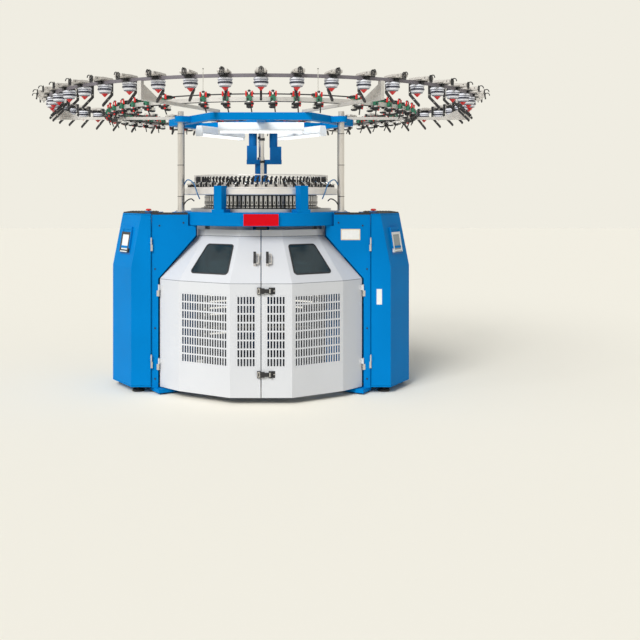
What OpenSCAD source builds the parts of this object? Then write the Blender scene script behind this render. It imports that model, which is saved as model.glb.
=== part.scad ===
// Circular knitting machine with two side cabinets, safety doors and a yarn feed ring.
// Origin: floor level, on the axis of the needle cylinder. The front faces -Y.

/* [Safety doors] */
// Distance from the machine axis to the front facet of the doors
door_apothem = 760; // [740:1:790]
// Same distance at the top band of the doors
door_top_apothem = 533; // [525:1:560]
// Height of the lower edge of the doors
door_bottom_z = 45; // [42:1:60]
// Height of the fold where the doors start to slope inwards
shoulder_z = 793; // [760:1:820]
// Height of the fold at the top of the slope
slope_top_z = 1091; // [1060:1:1100]
// Height of the upper edge of the doors
door_top_z = 1134; // [1120:1:1145]
// Length of the narrow outer facet at the bottom
outer_facet = 203; // [190:1:204]
// Length of the narrow outer facet at the top
outer_facet_top = 70; // [50:1:90]
// Thickness of the door sheet
door_sheet = 3; // [2:0.5:4]
// Gap between the two doors
door_gap = 6; // [4:1:12]

/* [Door grilles] */
// Width of one slot
slot_w = 12; // [6:1:14]
// Height of one slot
slot_h = 48; // [30:1:52]
// Distance between slot columns
slot_pitch_x = 20; // [18:1:20]
// Distance between slot rows
slot_pitch_z = 58; // [54:1:60]
// Slot columns in the flank grille
flank_columns = 18; // [10:1:18]
// Slot columns in the front grille
front_columns = 6; // [3:1:6]
// Slot rows
slot_rows = 8; // [4:1:8]
// Height of the lower end of the grilles
grille_z = 252; // [200:1:280]

/* [Frame] */
// Outer radius of the round machine bed
bed_r = 640; // [636:1:660]
// Underside of the machine bed
bed_bottom_z = 1161; // [1150:1:1170]
// Top of the machine bed
bed_top_z = 1253; // [1245:1:1262]
// Radius of the circle on which the posts stand
post_circle_r = 652; // [645:1:665]
// Diameter of a post
post_d = 42; // [36:1:50]
// Top of the posts
post_top_z = 1960; // [1945:1:2000]
// Distance from the axis to a flat of the hexagonal top frame
hex_apothem = 590; // [580:1:600]
// Width of the hexagon's bar
hex_bar = 60; // [40:1:80]
// Underside of the top frame
hex_bottom_z = 1880; // [1875:1:1885]
// Height of the top frame's bar
hex_h = 49; // [40:1:60]

/* [Cabinets] */
// Distance from the axis plane to the inner side of a cabinet
cab_inner_x = 760; // [758:1:770]
// Width of the flat front panel of a cabinet
cab_front_w = 137; // [120:1:150]
// Depth position of the cabinet fronts
cab_front_y = 430; // [426:1:440]
// Height of the cabinet floor
cab_bottom_z = 44; // [42:1:70]
// Height at which the upper part starts to lean
cab_lean_z = 870; // [820:1:920]
// Height of the cabinet top
cab_top_z = 1243; // [1230:1:1250]
// How far the top stands in from the bottom
cab_lean = 72; // [40:1:80]
// Thickness of the cabinet sheet
cab_sheet = 3; // [2:0.5:4]

/* [Knitting head] */
// Outer radius of the needle cylinder
cyl_r = 381; // [376:1:382]
// Wall of the needle cylinder
cyl_wall = 16; // [12:1:18]
// Outer radius of the cam drum around the cylinder
cam_drum_r = 417; // [412:1:420]
// Number of cam blocks on the drum
cam_blocks = 84; // [60:1:90]
// Outer radius of the upper cam ring
cam_ring_r = 568; // [560:1:572]
// Thickness of the upper cam ring
cam_ring_t = 47; // [40:1:50]
// Number of yarn feeders on the cam ring
yarn_feeder_count = 48; // [36:1:48]
// Teeth of the ring gear
gear_teeth = 120; // [120:1:120]
// Teeth of the drive pinion
pinion_teeth = 20; // [20:1:20]
// Gear module
gear_module = 7.5; // [7.5:0.5:7.5]

/* [Yarn feed rings] */
// Radius of the outer ring bar
outer_ring_r = 1530; // [1500:1:1545]
// Number of storage feeders on the outer ring
storage_count = 46; // [40:1:46]
// Height of the underside of the outer ring bar
outer_ring_z = 2040; // [2030:1:2060]
// Diameter of a yarn storage drum
drum_d = 88; // [70:1:92]
// Radius of the circle of positive feeders
inner_ring_r = 1070; // [1040:1:1090]
// Number of positive feeders
feeder_count = 48; // [36:1:48]

/* [Hidden] */

blue = [0.00, 0.47, 0.78];
white = [0.93, 0.94, 0.94];
steel = [0.80, 0.79, 0.76];
dark = [0.10, 0.10, 0.11];
red = [0.78, 0.08, 0.08];
green = [0.25, 0.58, 0.42];
grey = [0.55, 0.54, 0.52];
glass_dark = [0.18, 0.23, 0.26];

seat = 0.3;
run_gap = 0.05;
facet_step = 30;
outer_facet_turn = 45;
leg_angles = [-30, 210, 90];

// Half width of a facet, and corner radius, of a regular twelve-sided plan of apothem a
function half_facet(a) = a * tan(15);
function corner_r(a) = a / cos(15);

slope_run = door_apothem - door_top_apothem;
slope_rise = slope_top_z - shoulder_z;
slope_tilt = atan2(slope_rise, slope_run);
door_end = [
  corner_r(door_apothem) * sin(45) + outer_facet * cos(45),
  -corner_r(door_apothem) * cos(45) + outer_facet * sin(45)
];
door_hinge = [door_end[0] + 7, door_end[1] - 14];
door_hinge_r = 5;
door_hinge_z = [711, 202];
door_hinge_len = 80;

flank_grille_w = flank_columns * slot_pitch_x - slot_pitch_x + slot_w + 20;
front_grille_w = front_columns * slot_pitch_x - slot_pitch_x + slot_w + 20;
grille_h = slot_rows * slot_pitch_z - slot_pitch_z + slot_h + 20;
front_grille_x = 98;

// Copies children to the right side and, mirrored, to the left side
module both_sides() {
  children();
  mirror([1, 0, 0]) children();
}

module at_polar(r, a) {
  rotate([0, 0, a]) translate([r, 0, 0]) children();
}

module ring(r_out, r_in, z0, z1) {
  translate([0, 0, z0]) difference() {
    cylinder(r = r_out, h = z1 - z0, $fn = 180);
    translate([0, 0, -1]) cylinder(r = r_in, h = z1 - z0 + 2, $fn = 180);
  }
}

module box(x0, x1, y0, y1, z0, z1) {
  translate([x0, y0, z0]) cube([x1 - x0, y1 - y0, z1 - z0]);
}

function side(plan, i) = plan[(i + 1) % len(plan)] - plan[i];

// Solid through plans of equally many corners, one above the other at the given levels
module loft(plans, levels) {
  n = len(plans[0]);
  m = len(levels);
  polyhedron(
    points = [for (k = [0 : m - 1], p = plans[k]) [p[0], p[1], levels[k]]],
    faces = [
      [for (i = [0 : n - 1]) i],
      [for (i = [n - 1 : -1 : 0]) (m - 1) * n + i],
      for (k = [0 : m - 2], i = [0 : n - 1])
        let (a = k * n + i, b = a + n, d = k * n + (i + 1) % n, c = d + n)
          each abs(cross(side(plans[k], i), side(plans[k + 1], i))) < 0.001
            ? [[a, b, c, d]] : [[a, b, c], [a, c, d]]
    ]
  );
}

// Places a drawing of the plane (u across, v up) on a vertical facet, 0 being the outer face
module on_wall(turn, distance, z) {
  rotate([0, 0, turn]) translate([0, -distance, z]) rotate([90, 0, 0]) children();
}

// The same on a sloping facet that leans back by the given tilt
module on_slope(turn, distance, z, tilt) {
  rotate([0, 0, turn]) translate([0, -distance, z]) rotate([tilt, 0, 0]) children();
}

module window_outline(grow) {
  offset(r = 18 + grow, $fn = 24)
    polygon([[-134, 88], [112, 88], [70, 282], [-101, 282]]);
}

// Plan of the right door at apothem a, closed through the inside of the machine; f is the
// length of its narrow outer facet and ext lets it run on past the ends of the door
function door_plan(a, f, ext) = [
  [door_gap / 2 - ext, -a], [half_facet(a), -a],
  [corner_r(a) * sin(45), -corner_r(a) * cos(45)],
  [corner_r(a) * sin(45) + (f + ext) * cos(45), -corner_r(a) * cos(45) + (f + ext) * sin(45)],
  [door_gap / 2 - ext, -100 + ext]
];

// Solid inside the door plan: upright, sloping in at the shoulder, upright again
module door_form(t, ext, z0, z1) {
  low = door_plan(door_apothem - t, outer_facet, ext);
  top = door_plan(door_top_apothem - t, outer_facet_top, ext);
  loft([low, low, top, top], [z0, shoulder_z, slope_top_z, z1]);
}

// One door, drawn on the right side: three folded facets, a sloping shoulder and a top band
module door_sheet_metal() {
  t = door_sheet;
  z0 = grille_z - 10 - seat;
  difference() {
    door_form(0, 0, door_bottom_z, door_top_z);
    difference() {
      door_form(t, 20, door_bottom_z + t, door_top_z + 5);
      box(0, door_gap / 2 + t, -door_apothem - 1, -door_apothem + 28, door_bottom_z, shoulder_z - 40);
    }
    // the floor of the form is cut back to a narrow return
    linear_extrude(door_bottom_z + t + 1) polygon(door_plan(door_apothem - 28, outer_facet, 40));
    on_wall(0, door_apothem, z0) translate([front_grille_x - front_grille_w / 2 - seat, 0, -t - 2])
      cube([front_grille_w + 2 * seat, grille_h + 2 * seat, t + 4]);
    on_wall(facet_step, door_apothem, z0) translate([-flank_grille_w / 2 - seat, 0, -t - 2])
      cube([flank_grille_w + 2 * seat, grille_h + 2 * seat, t + 4]);
    on_slope(facet_step, door_apothem, shoulder_z, slope_tilt)
      translate([0, 0, -t - 6]) linear_extrude(t + 12) window_outline(0);
  }
  // hinge leaves, bent round to the knuckles
  for (z = door_hinge_z) {
    hinge_knuckle(z + 0.5, door_hinge_len / 2 - 1);
    rotate([0, 0, outer_facet_turn])
      translate([outer_facet - 24, -corner_r(door_apothem) - t, z + 4])
        cube([22, t + 1, door_hinge_len / 2 - 8]);
  }
}

// Barrel of a door hinge at height z, bored for the pin
module hinge_knuckle(z, h) {
  translate([door_hinge[0], door_hinge[1], z]) difference() {
    union() {
      cylinder(r = door_hinge_r, h = h, $fn = 32);
      rotate([0, 0, outer_facet_turn]) translate([-4, 0, 2]) cube([7, 16, h - 4]);
    }
    translate([0, 0, -1]) cylinder(r = door_hinge_r / 2 + run_gap, h = h + 2, $fn = 32);
  }
}

module right_door() {
  color(white) door_sheet_metal();
}

module left_door() {
  color(white) mirror([1, 0, 0]) door_sheet_metal();
}

// Flat punched panel with upright slots
module grille_panel(columns, width) {
  difference() {
    translate([-width / 2, 0]) square([width, grille_h]);
    for (i = [0 : columns - 1], j = [0 : slot_rows - 1])
      translate([(i - (columns - 1) / 2) * slot_pitch_x - slot_w / 2, 10 + j * slot_pitch_z])
        square([slot_w, slot_h]);
  }
}

module door_grilles() {
  t = door_sheet;
  z0 = grille_z - 10;
  on_wall(0, door_apothem, z0) translate([front_grille_x, 0, -t])
    linear_extrude(t) grille_panel(front_columns, front_grille_w);
  on_wall(facet_step, door_apothem, z0) translate([0, 0, -t])
    linear_extrude(t) grille_panel(flank_columns, flank_grille_w);
}

module right_grilles() {
  color(white) door_grilles();
}

module left_grilles() {
  color(white) mirror([1, 0, 0]) door_grilles();
}

module window_pane() {
  on_slope(facet_step, door_apothem, shoulder_z, slope_tilt) {
    translate([0, 0, -door_sheet - 1]) linear_extrude(4 + door_sheet) window_outline(-seat);
    linear_extrude(3) difference() {
      window_outline(7);
      window_outline(-seat - 1);
    }
  }
}

module right_window() {
  color(glass_dark) window_pane();
}

module left_window() {
  color(glass_dark) mirror([1, 0, 0]) window_pane();
}

// Upright bow handle on the sloping front facet
handle_x = 42;
handle_v = 180;
handle_len = 90;
module door_handle() {
  on_slope(0, door_apothem, shoulder_z, slope_tilt) translate([handle_x, handle_v, 0]) {
    for (s = [-1, 1]) translate([-9, s * (handle_len / 2 - 9) - 9, seat / 3]) cube([18, 18, 34]);
    translate([-9, -handle_len / 2, 28]) cube([18, handle_len, 12]);
  }
}

module right_handle() {
  color(dark) {
    door_handle();
    for (z = latch_zs) latch_base(z);
  }
}

module left_handle() {
  color(dark) {
    mirror([1, 0, 0]) door_handle();
    for (z = latch_zs) latch_keeper(z);
  }
}

// Draw latch across the split: the lever turns on a pin in a base on the right door
latch_zs = [745, 199];
latch_pin = [66, -door_apothem - 11];
latch_w = 44;
latch_tip = 2.5;
module latch_base(z) {
  translate([0, -door_apothem, z]) {
    box(latch_pin[0] - 16, latch_pin[0] + 26, -4, -seat / 3, -latch_w / 2, latch_w / 2);
    for (s = [-1, 1]) translate([0, 0, s * (latch_w / 2 - 4) - 4])
      box(latch_pin[0] - 8, latch_pin[0] + 8, -16, -3.9, 0, 8);
  }
  translate([latch_pin[0], latch_pin[1], z - latch_w / 2]) cylinder(r = 3, h = latch_w, $fn = 32);
}

module latch_keeper(z) {
  translate([0, -door_apothem, z])
    box(-26, -4, -14, -seat / 3, -latch_w / 2, latch_w / 2);
}

module latch_lever(z) {
  arm = latch_pin[0] + latch_tip;
  half = latch_w / 2 - 9;
  translate([latch_pin[0], latch_pin[1], z]) difference() {
    union() {
      translate([0, 0, -half]) cylinder(r = 6, h = 2 * half, $fn = 32);
      box(-arm, 0, -5.5, 0, -half, half);
      box(-arm, -arm + 26, -5.5, 4, -half - 5, half + 5);
    }
    translate([0, 0, -half - 1]) cylinder(r = 3 + run_gap, h = 2 * half + 2, $fn = 32);
  }
}

module upper_latch() {
  color(dark) latch_lever(latch_zs[0]);
}

module lower_latch() {
  color(dark) latch_lever(latch_zs[1]);
}

// Leg: a box column under the bed at one of three places, on a low flange
leg_r = [540, 690];
leg_front_t = [-30, 80];
leg_rear_t = [-65, 65];
flange_t = 70;
flange_r = [530, 850];
flange_z = [12, 38];
module leg(t) {
  box(leg_r[0], leg_r[1], t[0], t[1], flange_z[1] - 1, bed_bottom_z);
  box(flange_r[0], flange_r[1], -flange_t, flange_t, flange_z[0], flange_z[1]);
}

// Jamb bracket that ties a side panel to its leg, behind the end of the door
jamb_y = 420;
jamb_t = 20;
jamb_gap = 12;
module jamb_bracket() {
  x0 = door_end[0] + jamb_gap;
  box(door_end[0] - 100, cab_inner_x - 3, -300, -270, door_bottom_z, bed_bottom_z);
  for (z = [200, 620, 1110]) box(x0, cab_inner_x - 3, -jamb_y + jamb_t, -270, z, z + 40);
}

module front_legs() {
  color(blue) both_sides() {
    rotate([0, 0, leg_angles[0]]) leg(leg_front_t);
    jamb_bracket();
  }
}

module rear_leg() {
  color(blue) rotate([0, 0, leg_angles[2]]) leg(leg_rear_t);
}

// Round rubber feet under the legs and the cabinets
foot_r = 42;
cab_feet = [[860, -340], [1000, -60], [1000, 130], [830, 290]];
module levelling_feet() {
  color(dark) {
    for (a = leg_angles, r = [600, 790]) at_polar(r, a) cylinder(r = foot_r, h = flange_z[0], $fn = 32);
    both_sides() for (p = cab_feet) translate([p[0], p[1], 0]) {
      cylinder(r = foot_r, h = 14, $fn = 32);
      translate([0, 0, 13]) cylinder(r = 12, h = cab_bottom_z - 13, $fn = 24);
    }
  }
}

// Arms from the legs to a bearing hub near the floor, with seats for the shaft and the motor
shaft_pos = [gear_module * (gear_teeth + pinion_teeth) / 2, 30];
shaft_r = 20;
motor_pos = [640, 52];
hub_r = 110;
spider_z = [60, 110];
pad_h = 40;
pivot_r = 40;
module base_spider() {
  color(blue) difference() {
    union() {
      translate([0, 0, spider_z[0]]) cylinder(r = hub_r, h = spider_z[1] - spider_z[0], $fn = 64);
      for (a = leg_angles) rotate([0, 0, a])
        box(hub_r - 20, leg_r[0], -45, 45, spider_z[0] + 2, spider_z[1] - 8);
      rotate([0, 0, shaft_pos[1]])
        box(hub_r - 20, shaft_pos[0], -40, 40, spider_z[0] + 4, spider_z[1] - 12);
      rotate([0, 0, motor_pos[1]])
        box(hub_r - 20, motor_pos[0], -36, 36, spider_z[0] + 6, spider_z[1] - 14);
      for (p = [shaft_pos, motor_pos])
        at_polar(p[0], p[1]) translate([0, 0, spider_z[0]]) cylinder(r = 50, h = pad_h, $fn = 48);
    }
    translate([0, 0, spider_z[0] - 1])
      cylinder(r = pivot_r + run_gap, h = spider_z[1] - spider_z[0] + 2, $fn = 64);
    at_polar(shaft_pos[0], shaft_pos[1]) translate([0, 0, spider_z[0] + 3.7])
      cylinder(r = shaft_r + run_gap, h = 60, $fn = 48);
  }
}

// Round cast bed: a skirt, a top plate with the bore for the rotor, and three post lugs
bed_skirt = 30;
bed_top_t = 18;
rotor_bore_r = 410;
lug_r = 60;
module bed_ring() {
  color(blue) difference() {
    union() {
      rotate_extrude($fn = 180)
        polygon([
          [rotor_bore_r + run_gap, bed_top_z - bed_top_t], [bed_r - bed_skirt, bed_top_z - bed_top_t],
          [bed_r - bed_skirt, bed_bottom_z], [bed_r - 4, bed_bottom_z], [bed_r, bed_bottom_z + 4],
          [bed_r, bed_top_z - 6], [bed_r - 6, bed_top_z], [rotor_bore_r + run_gap, bed_top_z]
        ]);
      for (a = leg_angles) rotate([0, 0, a]) {
        box(bed_r - bed_skirt - 20, post_circle_r, -lug_r, lug_r, bed_bottom_z, bed_top_z);
        translate([post_circle_r, 0, bed_bottom_z])
          cylinder(r = lug_r, h = bed_top_z - bed_bottom_z, $fn = 64);
      }
    }
    at_polar(shaft_pos[0], shaft_pos[1]) translate([0, 0, bed_top_z - bed_top_t - 1])
      cylinder(r = shaft_r + run_gap, h = bed_top_t + 2, $fn = 48);
  }
}

// Bare name plate on the front of the bed, on two spacers
plate_size = [234, 80];
spacer_x = 90;
module front_plate() {
  color(red) {
    y = -bed_r - 6;
    box(-plate_size[0] / 2, plate_size[0] / 2, y - 3, y, bed_bottom_z + 4, bed_bottom_z + 4 + plate_size[1]);
    both_sides() box(spacer_x, spacer_x + 12, y - 1, -sqrt(bed_r * bed_r - spacer_x * spacer_x) - 2 * seat,
      bed_bottom_z + 30, bed_bottom_z + 60);
  }
}

// Blue plate between door and cabinet that follows the slanting end of the door
apron_gap = 4.5;
apron_x = sqrt(bed_r * bed_r - pow(jamb_y - jamb_t, 2)) + apron_gap;
apron_back_y = -(post_circle_r * sin(30) + lug_r + 3);
module side_panel() {
  x_low = door_end[0] + jamb_gap;
  x_top = corner_r(door_top_apothem) * sin(45) + outer_facet_top * cos(45) + jamb_gap;
  translate([0, -jamb_y + jamb_t, 0]) rotate([90, 0, 0]) linear_extrude(jamb_t)
    polygon([
      [x_low, flange_z[1]], [cab_inner_x - 3, flange_z[1]], [cab_inner_x - 3, cab_top_z],
      [apron_x, cab_top_z],
      [apron_x, bed_bottom_z - 2], [x_top, bed_bottom_z - 2], [x_top, slope_top_z],
      [x_low, shoulder_z]
    ]);
  box(apron_x + 30, cab_inner_x - 3, -jamb_y + jamb_t - 1, apron_back_y, cab_top_z - 3, cab_top_z);
}

module side_panels() {
  color(blue) both_sides() side_panel();
}

// Sheet guards behind, from the cabinets to the rear leg, with lying vent slots
guard_apothem = 740;
guard_slots = 12;
function guard_plan(t, ext) = let (
  a = guard_apothem - t,
  y = corner_r(guard_apothem) * sin(15) - t,
  x = cab_inner_x - seat + ext
) [
  [-ext, a], [half_facet(a), a], [corner_r(a) * sin(45), corner_r(a) * cos(45)],
  [(a - y * sin(30)) / cos(30), y], [x, y], [x, 100 - ext], [-ext, 100 - ext]
];
module rear_guard() {
  t = door_sheet;
  difference() {
    translate([0, 0, door_bottom_z]) linear_extrude(door_top_z - door_bottom_z) difference() {
      polygon(guard_plan(0, 0));
      polygon(guard_plan(t, 20));
    }
    mirror([0, 1, 0]) on_wall(facet_step, guard_apothem, 240) for (i = [0 : guard_slots - 1])
      translate([-110, i * 52, -t - 5]) cube([220, 14, t + 10]);
  }
  box(0, 40, leg_r[1] + seat, guard_apothem - t + 1, 245, 305);
}

module rear_guards() {
  color(white) both_sides() rear_guard();
}

// Plan of a cabinet, right side; lean is how far its outer sides have moved in
cab_out_x = 1067;
cab_out_y = [170, 150];
cab_back_y = 330;
cab_back_x = 930;
cab_turn = atan2(cab_front_y - cab_out_y[0], cab_out_x - cab_inner_x - cab_front_w);
function cab_plan(lean, t) = let (
  x_f = cab_inner_x + cab_front_w - lean,
  x_o = cab_out_x - lean,
  s = t * tan(cab_turn / 2),
  e = t * tan((90 - cab_turn) / 2)
) [
  [cab_inner_x + t, -cab_front_y + t], [x_f - s, -cab_front_y + t],
  [x_o - t, -cab_out_y[0] + e], [x_o - t, cab_out_y[1] - t / 2],
  [cab_back_x - lean - t / 2, cab_back_y - t], [cab_inner_x + t, cab_back_y - t]
];

// Solid form of a cabinet, upright below and leaning in above; t takes the sheet off each side
module cab_form(t, z0, z1) {
  frac = (z1 - cab_lean_z) / (cab_top_z - cab_lean_z);
  loft([cab_plan(0, t), cab_plan(0, t), cab_plan(cab_lean * frac, t)], [z0, cab_lean_z, z1]);
}

door_cut_y = cab_out_y[0] + 4;
cab_door_z = [cab_bottom_z + 8, cab_top_z - 8];
module cab_body() {
  difference() {
    cab_form(0, cab_bottom_z, cab_top_z);
    cab_form(cab_sheet, cab_bottom_z + cab_sheet, cab_top_z - cab_sheet);
    box(cab_inner_x + cab_sheet, cab_out_x + 10, -cab_front_y - 10, -door_cut_y,
      cab_door_z[0], cab_door_z[1]);
  }
}

// Folded door of a cabinet: flat front and slanting facet in one sheet
cab_hinge = [cab_inner_x - 2, -cab_front_y - 5];
cab_hinge_r = 5;
cab_hinge_z = [985, 176];
cab_hinge_len = 90;
module cab_door() {
  difference() {
    intersection() {
      cab_form(0, cab_door_z[0] + 1, cab_top_z - 1);
      box(cab_inner_x + cab_sheet + 1.5, cab_out_x + 10, -cab_front_y - 10, -door_cut_y - 1.5,
        cab_door_z[0] + 1.5, cab_door_z[1] - 1.5);
    }
    cab_form(cab_sheet, cab_bottom_z, cab_top_z - 0.5);
  }
  for (z = cab_hinge_z) translate([cab_hinge[0], cab_hinge[1], z + cab_hinge_len / 2 + 0.5]) difference() {
    union() {
      cylinder(r = cab_hinge_r, h = cab_hinge_len / 2 - 1, $fn = 32);
      box(0, 18, 1, 4.9, 2, cab_hinge_len / 2 - 3);
      box(8, 17, 2, 6.5, 3, cab_hinge_len / 2 - 4);
    }
    translate([0, 0, -1]) cylinder(r = cab_hinge_r / 2 + run_gap, h = cab_hinge_len, $fn = 32);
  }
}

// Square frame of the operator panel, standing a little proud of the leaning facet
screen_z = 1072;
screen_size = [150, 150];
screen_t = 14;
module on_cab_facet(z) {
  lean = cab_lean * (z - cab_lean_z) / (cab_top_z - cab_lean_z);
  tip = atan2(cab_lean * sin(cab_turn), cab_top_z - cab_lean_z);
  mid_x = (cab_inner_x + cab_front_w + cab_out_x) / 2 - lean;
  translate([mid_x, -(cab_front_y + cab_out_y[0]) / 2, z]) rotate([0, 0, cab_turn])
    rotate([90 - tip, 0, 0]) children();
}

module operator_panel() {
  on_cab_facet(screen_z) translate([0, 0, -1]) difference() {
    translate([-screen_size[0] / 2, -screen_size[1] / 2, 0]) cube([screen_size[0], screen_size[1], screen_t]);
    translate([-screen_size[0] / 2 + 16, -screen_size[1] / 2 + 16, screen_t - 5])
      cube([screen_size[0] - 32, screen_size[1] - 32, 10]);
  }
}

module right_cabinet_door() {
  color(blue) {
    cab_door();
    operator_panel();
  }
}

module left_cabinet_door() {
  color(blue) mirror([1, 0, 0]) {
    cab_door();
    operator_panel();
  }
}

// Collar that carries a stop button on a cabinet top
button_pos = [790, -330];
button_r = 20;
collar_h = 14;
module button_collar() {
  translate([button_pos[0], button_pos[1], cab_top_z - 1]) difference() {
    cylinder(r = 26, h = collar_h + 1, $fn = 48);
    translate([0, 0, 2]) cylinder(r = 8 + run_gap, h = collar_h + 5, $fn = 48);
  }
}

module right_cabinet() {
  color(blue) {
    cab_body();
    button_collar();
  }
}

module left_cabinet() {
  color(blue) mirror([1, 0, 0]) {
    cab_body();
    button_collar();
  }
}

button_travel = 6;
module stop_button() {
  translate([button_pos[0], button_pos[1], cab_top_z]) {
    translate([0, 0, 1 + button_travel + 1]) cylinder(r = 8, h = collar_h, $fn = 48);
    translate([0, 0, collar_h + button_travel + 0.5]) {
      cylinder(r = button_r, h = 8, $fn = 48);
      translate([0, 0, 7.9]) cylinder(r1 = button_r, r2 = button_r - 8, h = 5, $fn = 48);
    }
  }
}

module right_stop_button() {
  color(red) stop_button();
}

module left_stop_button() {
  color(red) mirror([1, 0, 0]) stop_button();
}

// Ribbed rubber mats on the cabinet tops and the aprons beside them
mat_t = 8;
mat_rib = 3;
module top_mats() {
  x_o = cab_out_x - cab_lean - 4;
  x_f = cab_inner_x + cab_front_w - cab_lean - 3;
  color(dark) both_sides() translate([0, 0, cab_top_z]) {
    linear_extrude(mat_t) difference() {
      polygon([
        [apron_x + 4, -jamb_y + 3], [cab_inner_x, -jamb_y + 3], [cab_inner_x + 4, -cab_front_y + 5],
        [x_f, -cab_front_y + 5], [x_o, -cab_out_y[0] - 2], [x_o, cab_out_y[1] - 10],
        [cab_inner_x + 12, cab_out_y[1] - 10], [cab_inner_x + 12, apron_back_y],
        [apron_x + 32, apron_back_y], [apron_x + 4, -jamb_y + 8]
      ]);
      translate([button_pos[0], button_pos[1]]) circle(r = 30, $fn = 48);
    }
    for (x = [cab_inner_x + 24 : 22 : x_o - 16])
      box(x, x + 8, -cab_out_y[0] + 4, cab_out_y[1] - 14, mat_t, mat_t + mat_rib);
  }
}

// Hinge barrels with their pins: two for each safety door, two for each cabinet door
module barrel_and_pin(p, r, z, len) {
  translate([p[0], p[1], z]) {
    cylinder(r = r / 2, h = len, $fn = 32);
    cylinder(r = r, h = len / 2, $fn = 32);
    translate([0, 0, len]) cylinder(r = r, h = 3, $fn = 32);
  }
}

module hinge_pins() {
  color(steel) both_sides() {
    for (z = door_hinge_z) {
      barrel_and_pin(door_hinge, door_hinge_r, z - door_hinge_len / 2, door_hinge_len);
      box(door_hinge[0], door_hinge[0] + 15, -jamb_y - 3, -jamb_y,
        z - door_hinge_len / 2, z);
    }
    for (z = cab_hinge_z) {
      barrel_and_pin(cab_hinge, cab_hinge_r, z, cab_hinge_len);
      box(cab_hinge[0] - 9, cab_hinge[0] - 2, cab_hinge[1], -jamb_y, z, z + cab_hinge_len / 2 - 1);
    }
  }
}

// Ground steel plate on the bed, which carries the cam drum
base_plate_z = [bed_top_z, bed_top_z + 22];
base_plate_r = [517, 428];
module base_plate() {
  color(steel) ring(base_plate_r[0], base_plate_r[1], base_plate_z[0], base_plate_z[1]);
}

// Pillars that lift the cam ring off the bed: two in front and two behind
pillar_angles = [-62.4, 242.4, 62.4, 117.6];
pillar_top_z = 1435;
pillar_w = 60;
pillar_depth = 66;
cam_ring_low_z = 1372;
cam_ring_z = [cam_ring_low_z, cam_ring_low_z + cam_ring_t];
module ring_pillars() {
  color(blue) for (a = pillar_angles) rotate([0, 0, a]) {
    box(cam_ring_r + seat, cam_ring_r + pillar_depth, -pillar_w / 2, pillar_w / 2, bed_top_z, pillar_top_z);
    box(cam_ring_r - 24, cam_ring_r + pillar_depth, -48, 48, bed_top_z, bed_top_z + 22);
    box(cam_ring_r - 20, cam_ring_r + 1, -22, 22, cam_ring_z[1], pillar_top_z);
  }
}

// Drum of cam blocks round the cylinder: an inner wall, tall blocks and a row of small plates
drum_gap = 0.06;
module cam_drum() {
  z0 = base_plate_z[1];
  pitch = 360 / cam_blocks;
  color(dark) {
    ring(cam_drum_r - 6, cyl_r + drum_gap, z0, cam_ring_z[0]);
    ring(base_plate_r[1] + 12, cam_drum_r - 8, z0, z0 + 5);
  }
  color(steel) for (i = [0 : cam_blocks - 1]) rotate([0, 0, i * pitch]) {
    box(cam_drum_r - 7, cam_drum_r, -9, 9, z0 + 24, cam_ring_z[0] - 6);
    box(cam_drum_r - 7, cam_drum_r + 4, -10, 10, z0 + 5, z0 + 17);
  }
}

// Flat ring over the drum that carries the yarn feeders, with a rounded rim
cam_ring_in = 404;
module cam_ring() {
  color(steel) {
    rotate_extrude($fn = 180)
      polygon([
        [cam_ring_in, cam_ring_z[0]], [cam_ring_r - 5, cam_ring_z[0]], [cam_ring_r, cam_ring_z[0] + 5],
        [cam_ring_r, cam_ring_z[1] - 5], [cam_ring_r - 5, cam_ring_z[1]], [cam_ring_in, cam_ring_z[1]]
      ]);
  }
}

// Yarn feeders: a clamp post on the ring and a slanting finger with a ceramic eye each
feeder_r = 505;
module yarn_feeders() {
  color(dark) for (i = [0 : yarn_feeder_count - 1])
    rotate([0, 0, (i + 0.5) * 360 / yarn_feeder_count]) {
      box(feeder_r, feeder_r + 38, -7, 7, cam_ring_z[1], cam_ring_z[1] + 12);
      box(feeder_r, feeder_r + 12, -7, 7, cam_ring_z[1], cam_ring_z[1] + 46);
      translate([feeder_r + 30, 0, cam_ring_z[1] + 11]) cylinder(r = 6, h = 14, $fn = 16);
      translate([feeder_r + 5, -3, cam_ring_z[1] + 42]) rotate([0, 24, 0]) cube([36, 6, 5]);
    }
}

// Thin rail on slim rods above the feeders
rail_r = 491;
rail_z = 1512;
rail_rods = 24;
module yarn_guide_ring() {
  color(steel) {
    translate([0, 0, rail_z]) rotate_extrude($fn = 120) translate([rail_r, 0]) circle(r = 4, $fn = 16);
    for (i = [0 : rail_rods - 1]) at_polar(rail_r, i * 360 / rail_rods)
      translate([0, 0, cam_ring_z[1]]) cylinder(r = 3, h = rail_z - cam_ring_z[1], $fn = 16);
  }
}

// Needle cylinder with its flange, and the ring gear below the bed that drives it
cyl_top_z = 1402;
gear_z = [1185, 1225];
gear_pitch_r = gear_module * gear_teeth / 2;
flange_lip = 420;
module needle_cylinder() {
  needle_grooves = 60;
  color(steel) difference() {
    union() {
      ring(cyl_r, cyl_r - cyl_wall, base_plate_z[1] - 8, cyl_top_z);
      ring(cyl_r + 12, cyl_r - cyl_wall, bed_top_z + 12, base_plate_z[1] - 7);
    }
    for (i = [0 : needle_grooves - 1]) rotate([0, 0, i * 360 / needle_grooves])
      box(cyl_r - 3, cyl_r + 1, -1.5, 1.5, cam_ring_z[0] + 4, cyl_top_z + 1);
  }
}

function tooth(a, r, m, n) = [
  for (p = [[-0.33, r - 1.25 * m], [-0.22, r], [-0.10, r + m], [0.10, r + m], [0.22, r], [0.33, r - 1.25 * m]])
    let (b = a + p[0] * 360 / n) [p[1] * cos(b), p[1] * sin(b)]
];
module gear_outline(n, m, slack) {
  polygon([for (i = [0 : n - 1]) each tooth(i * 360 / n, n * m / 2 - slack, m, n)]);
}

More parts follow.
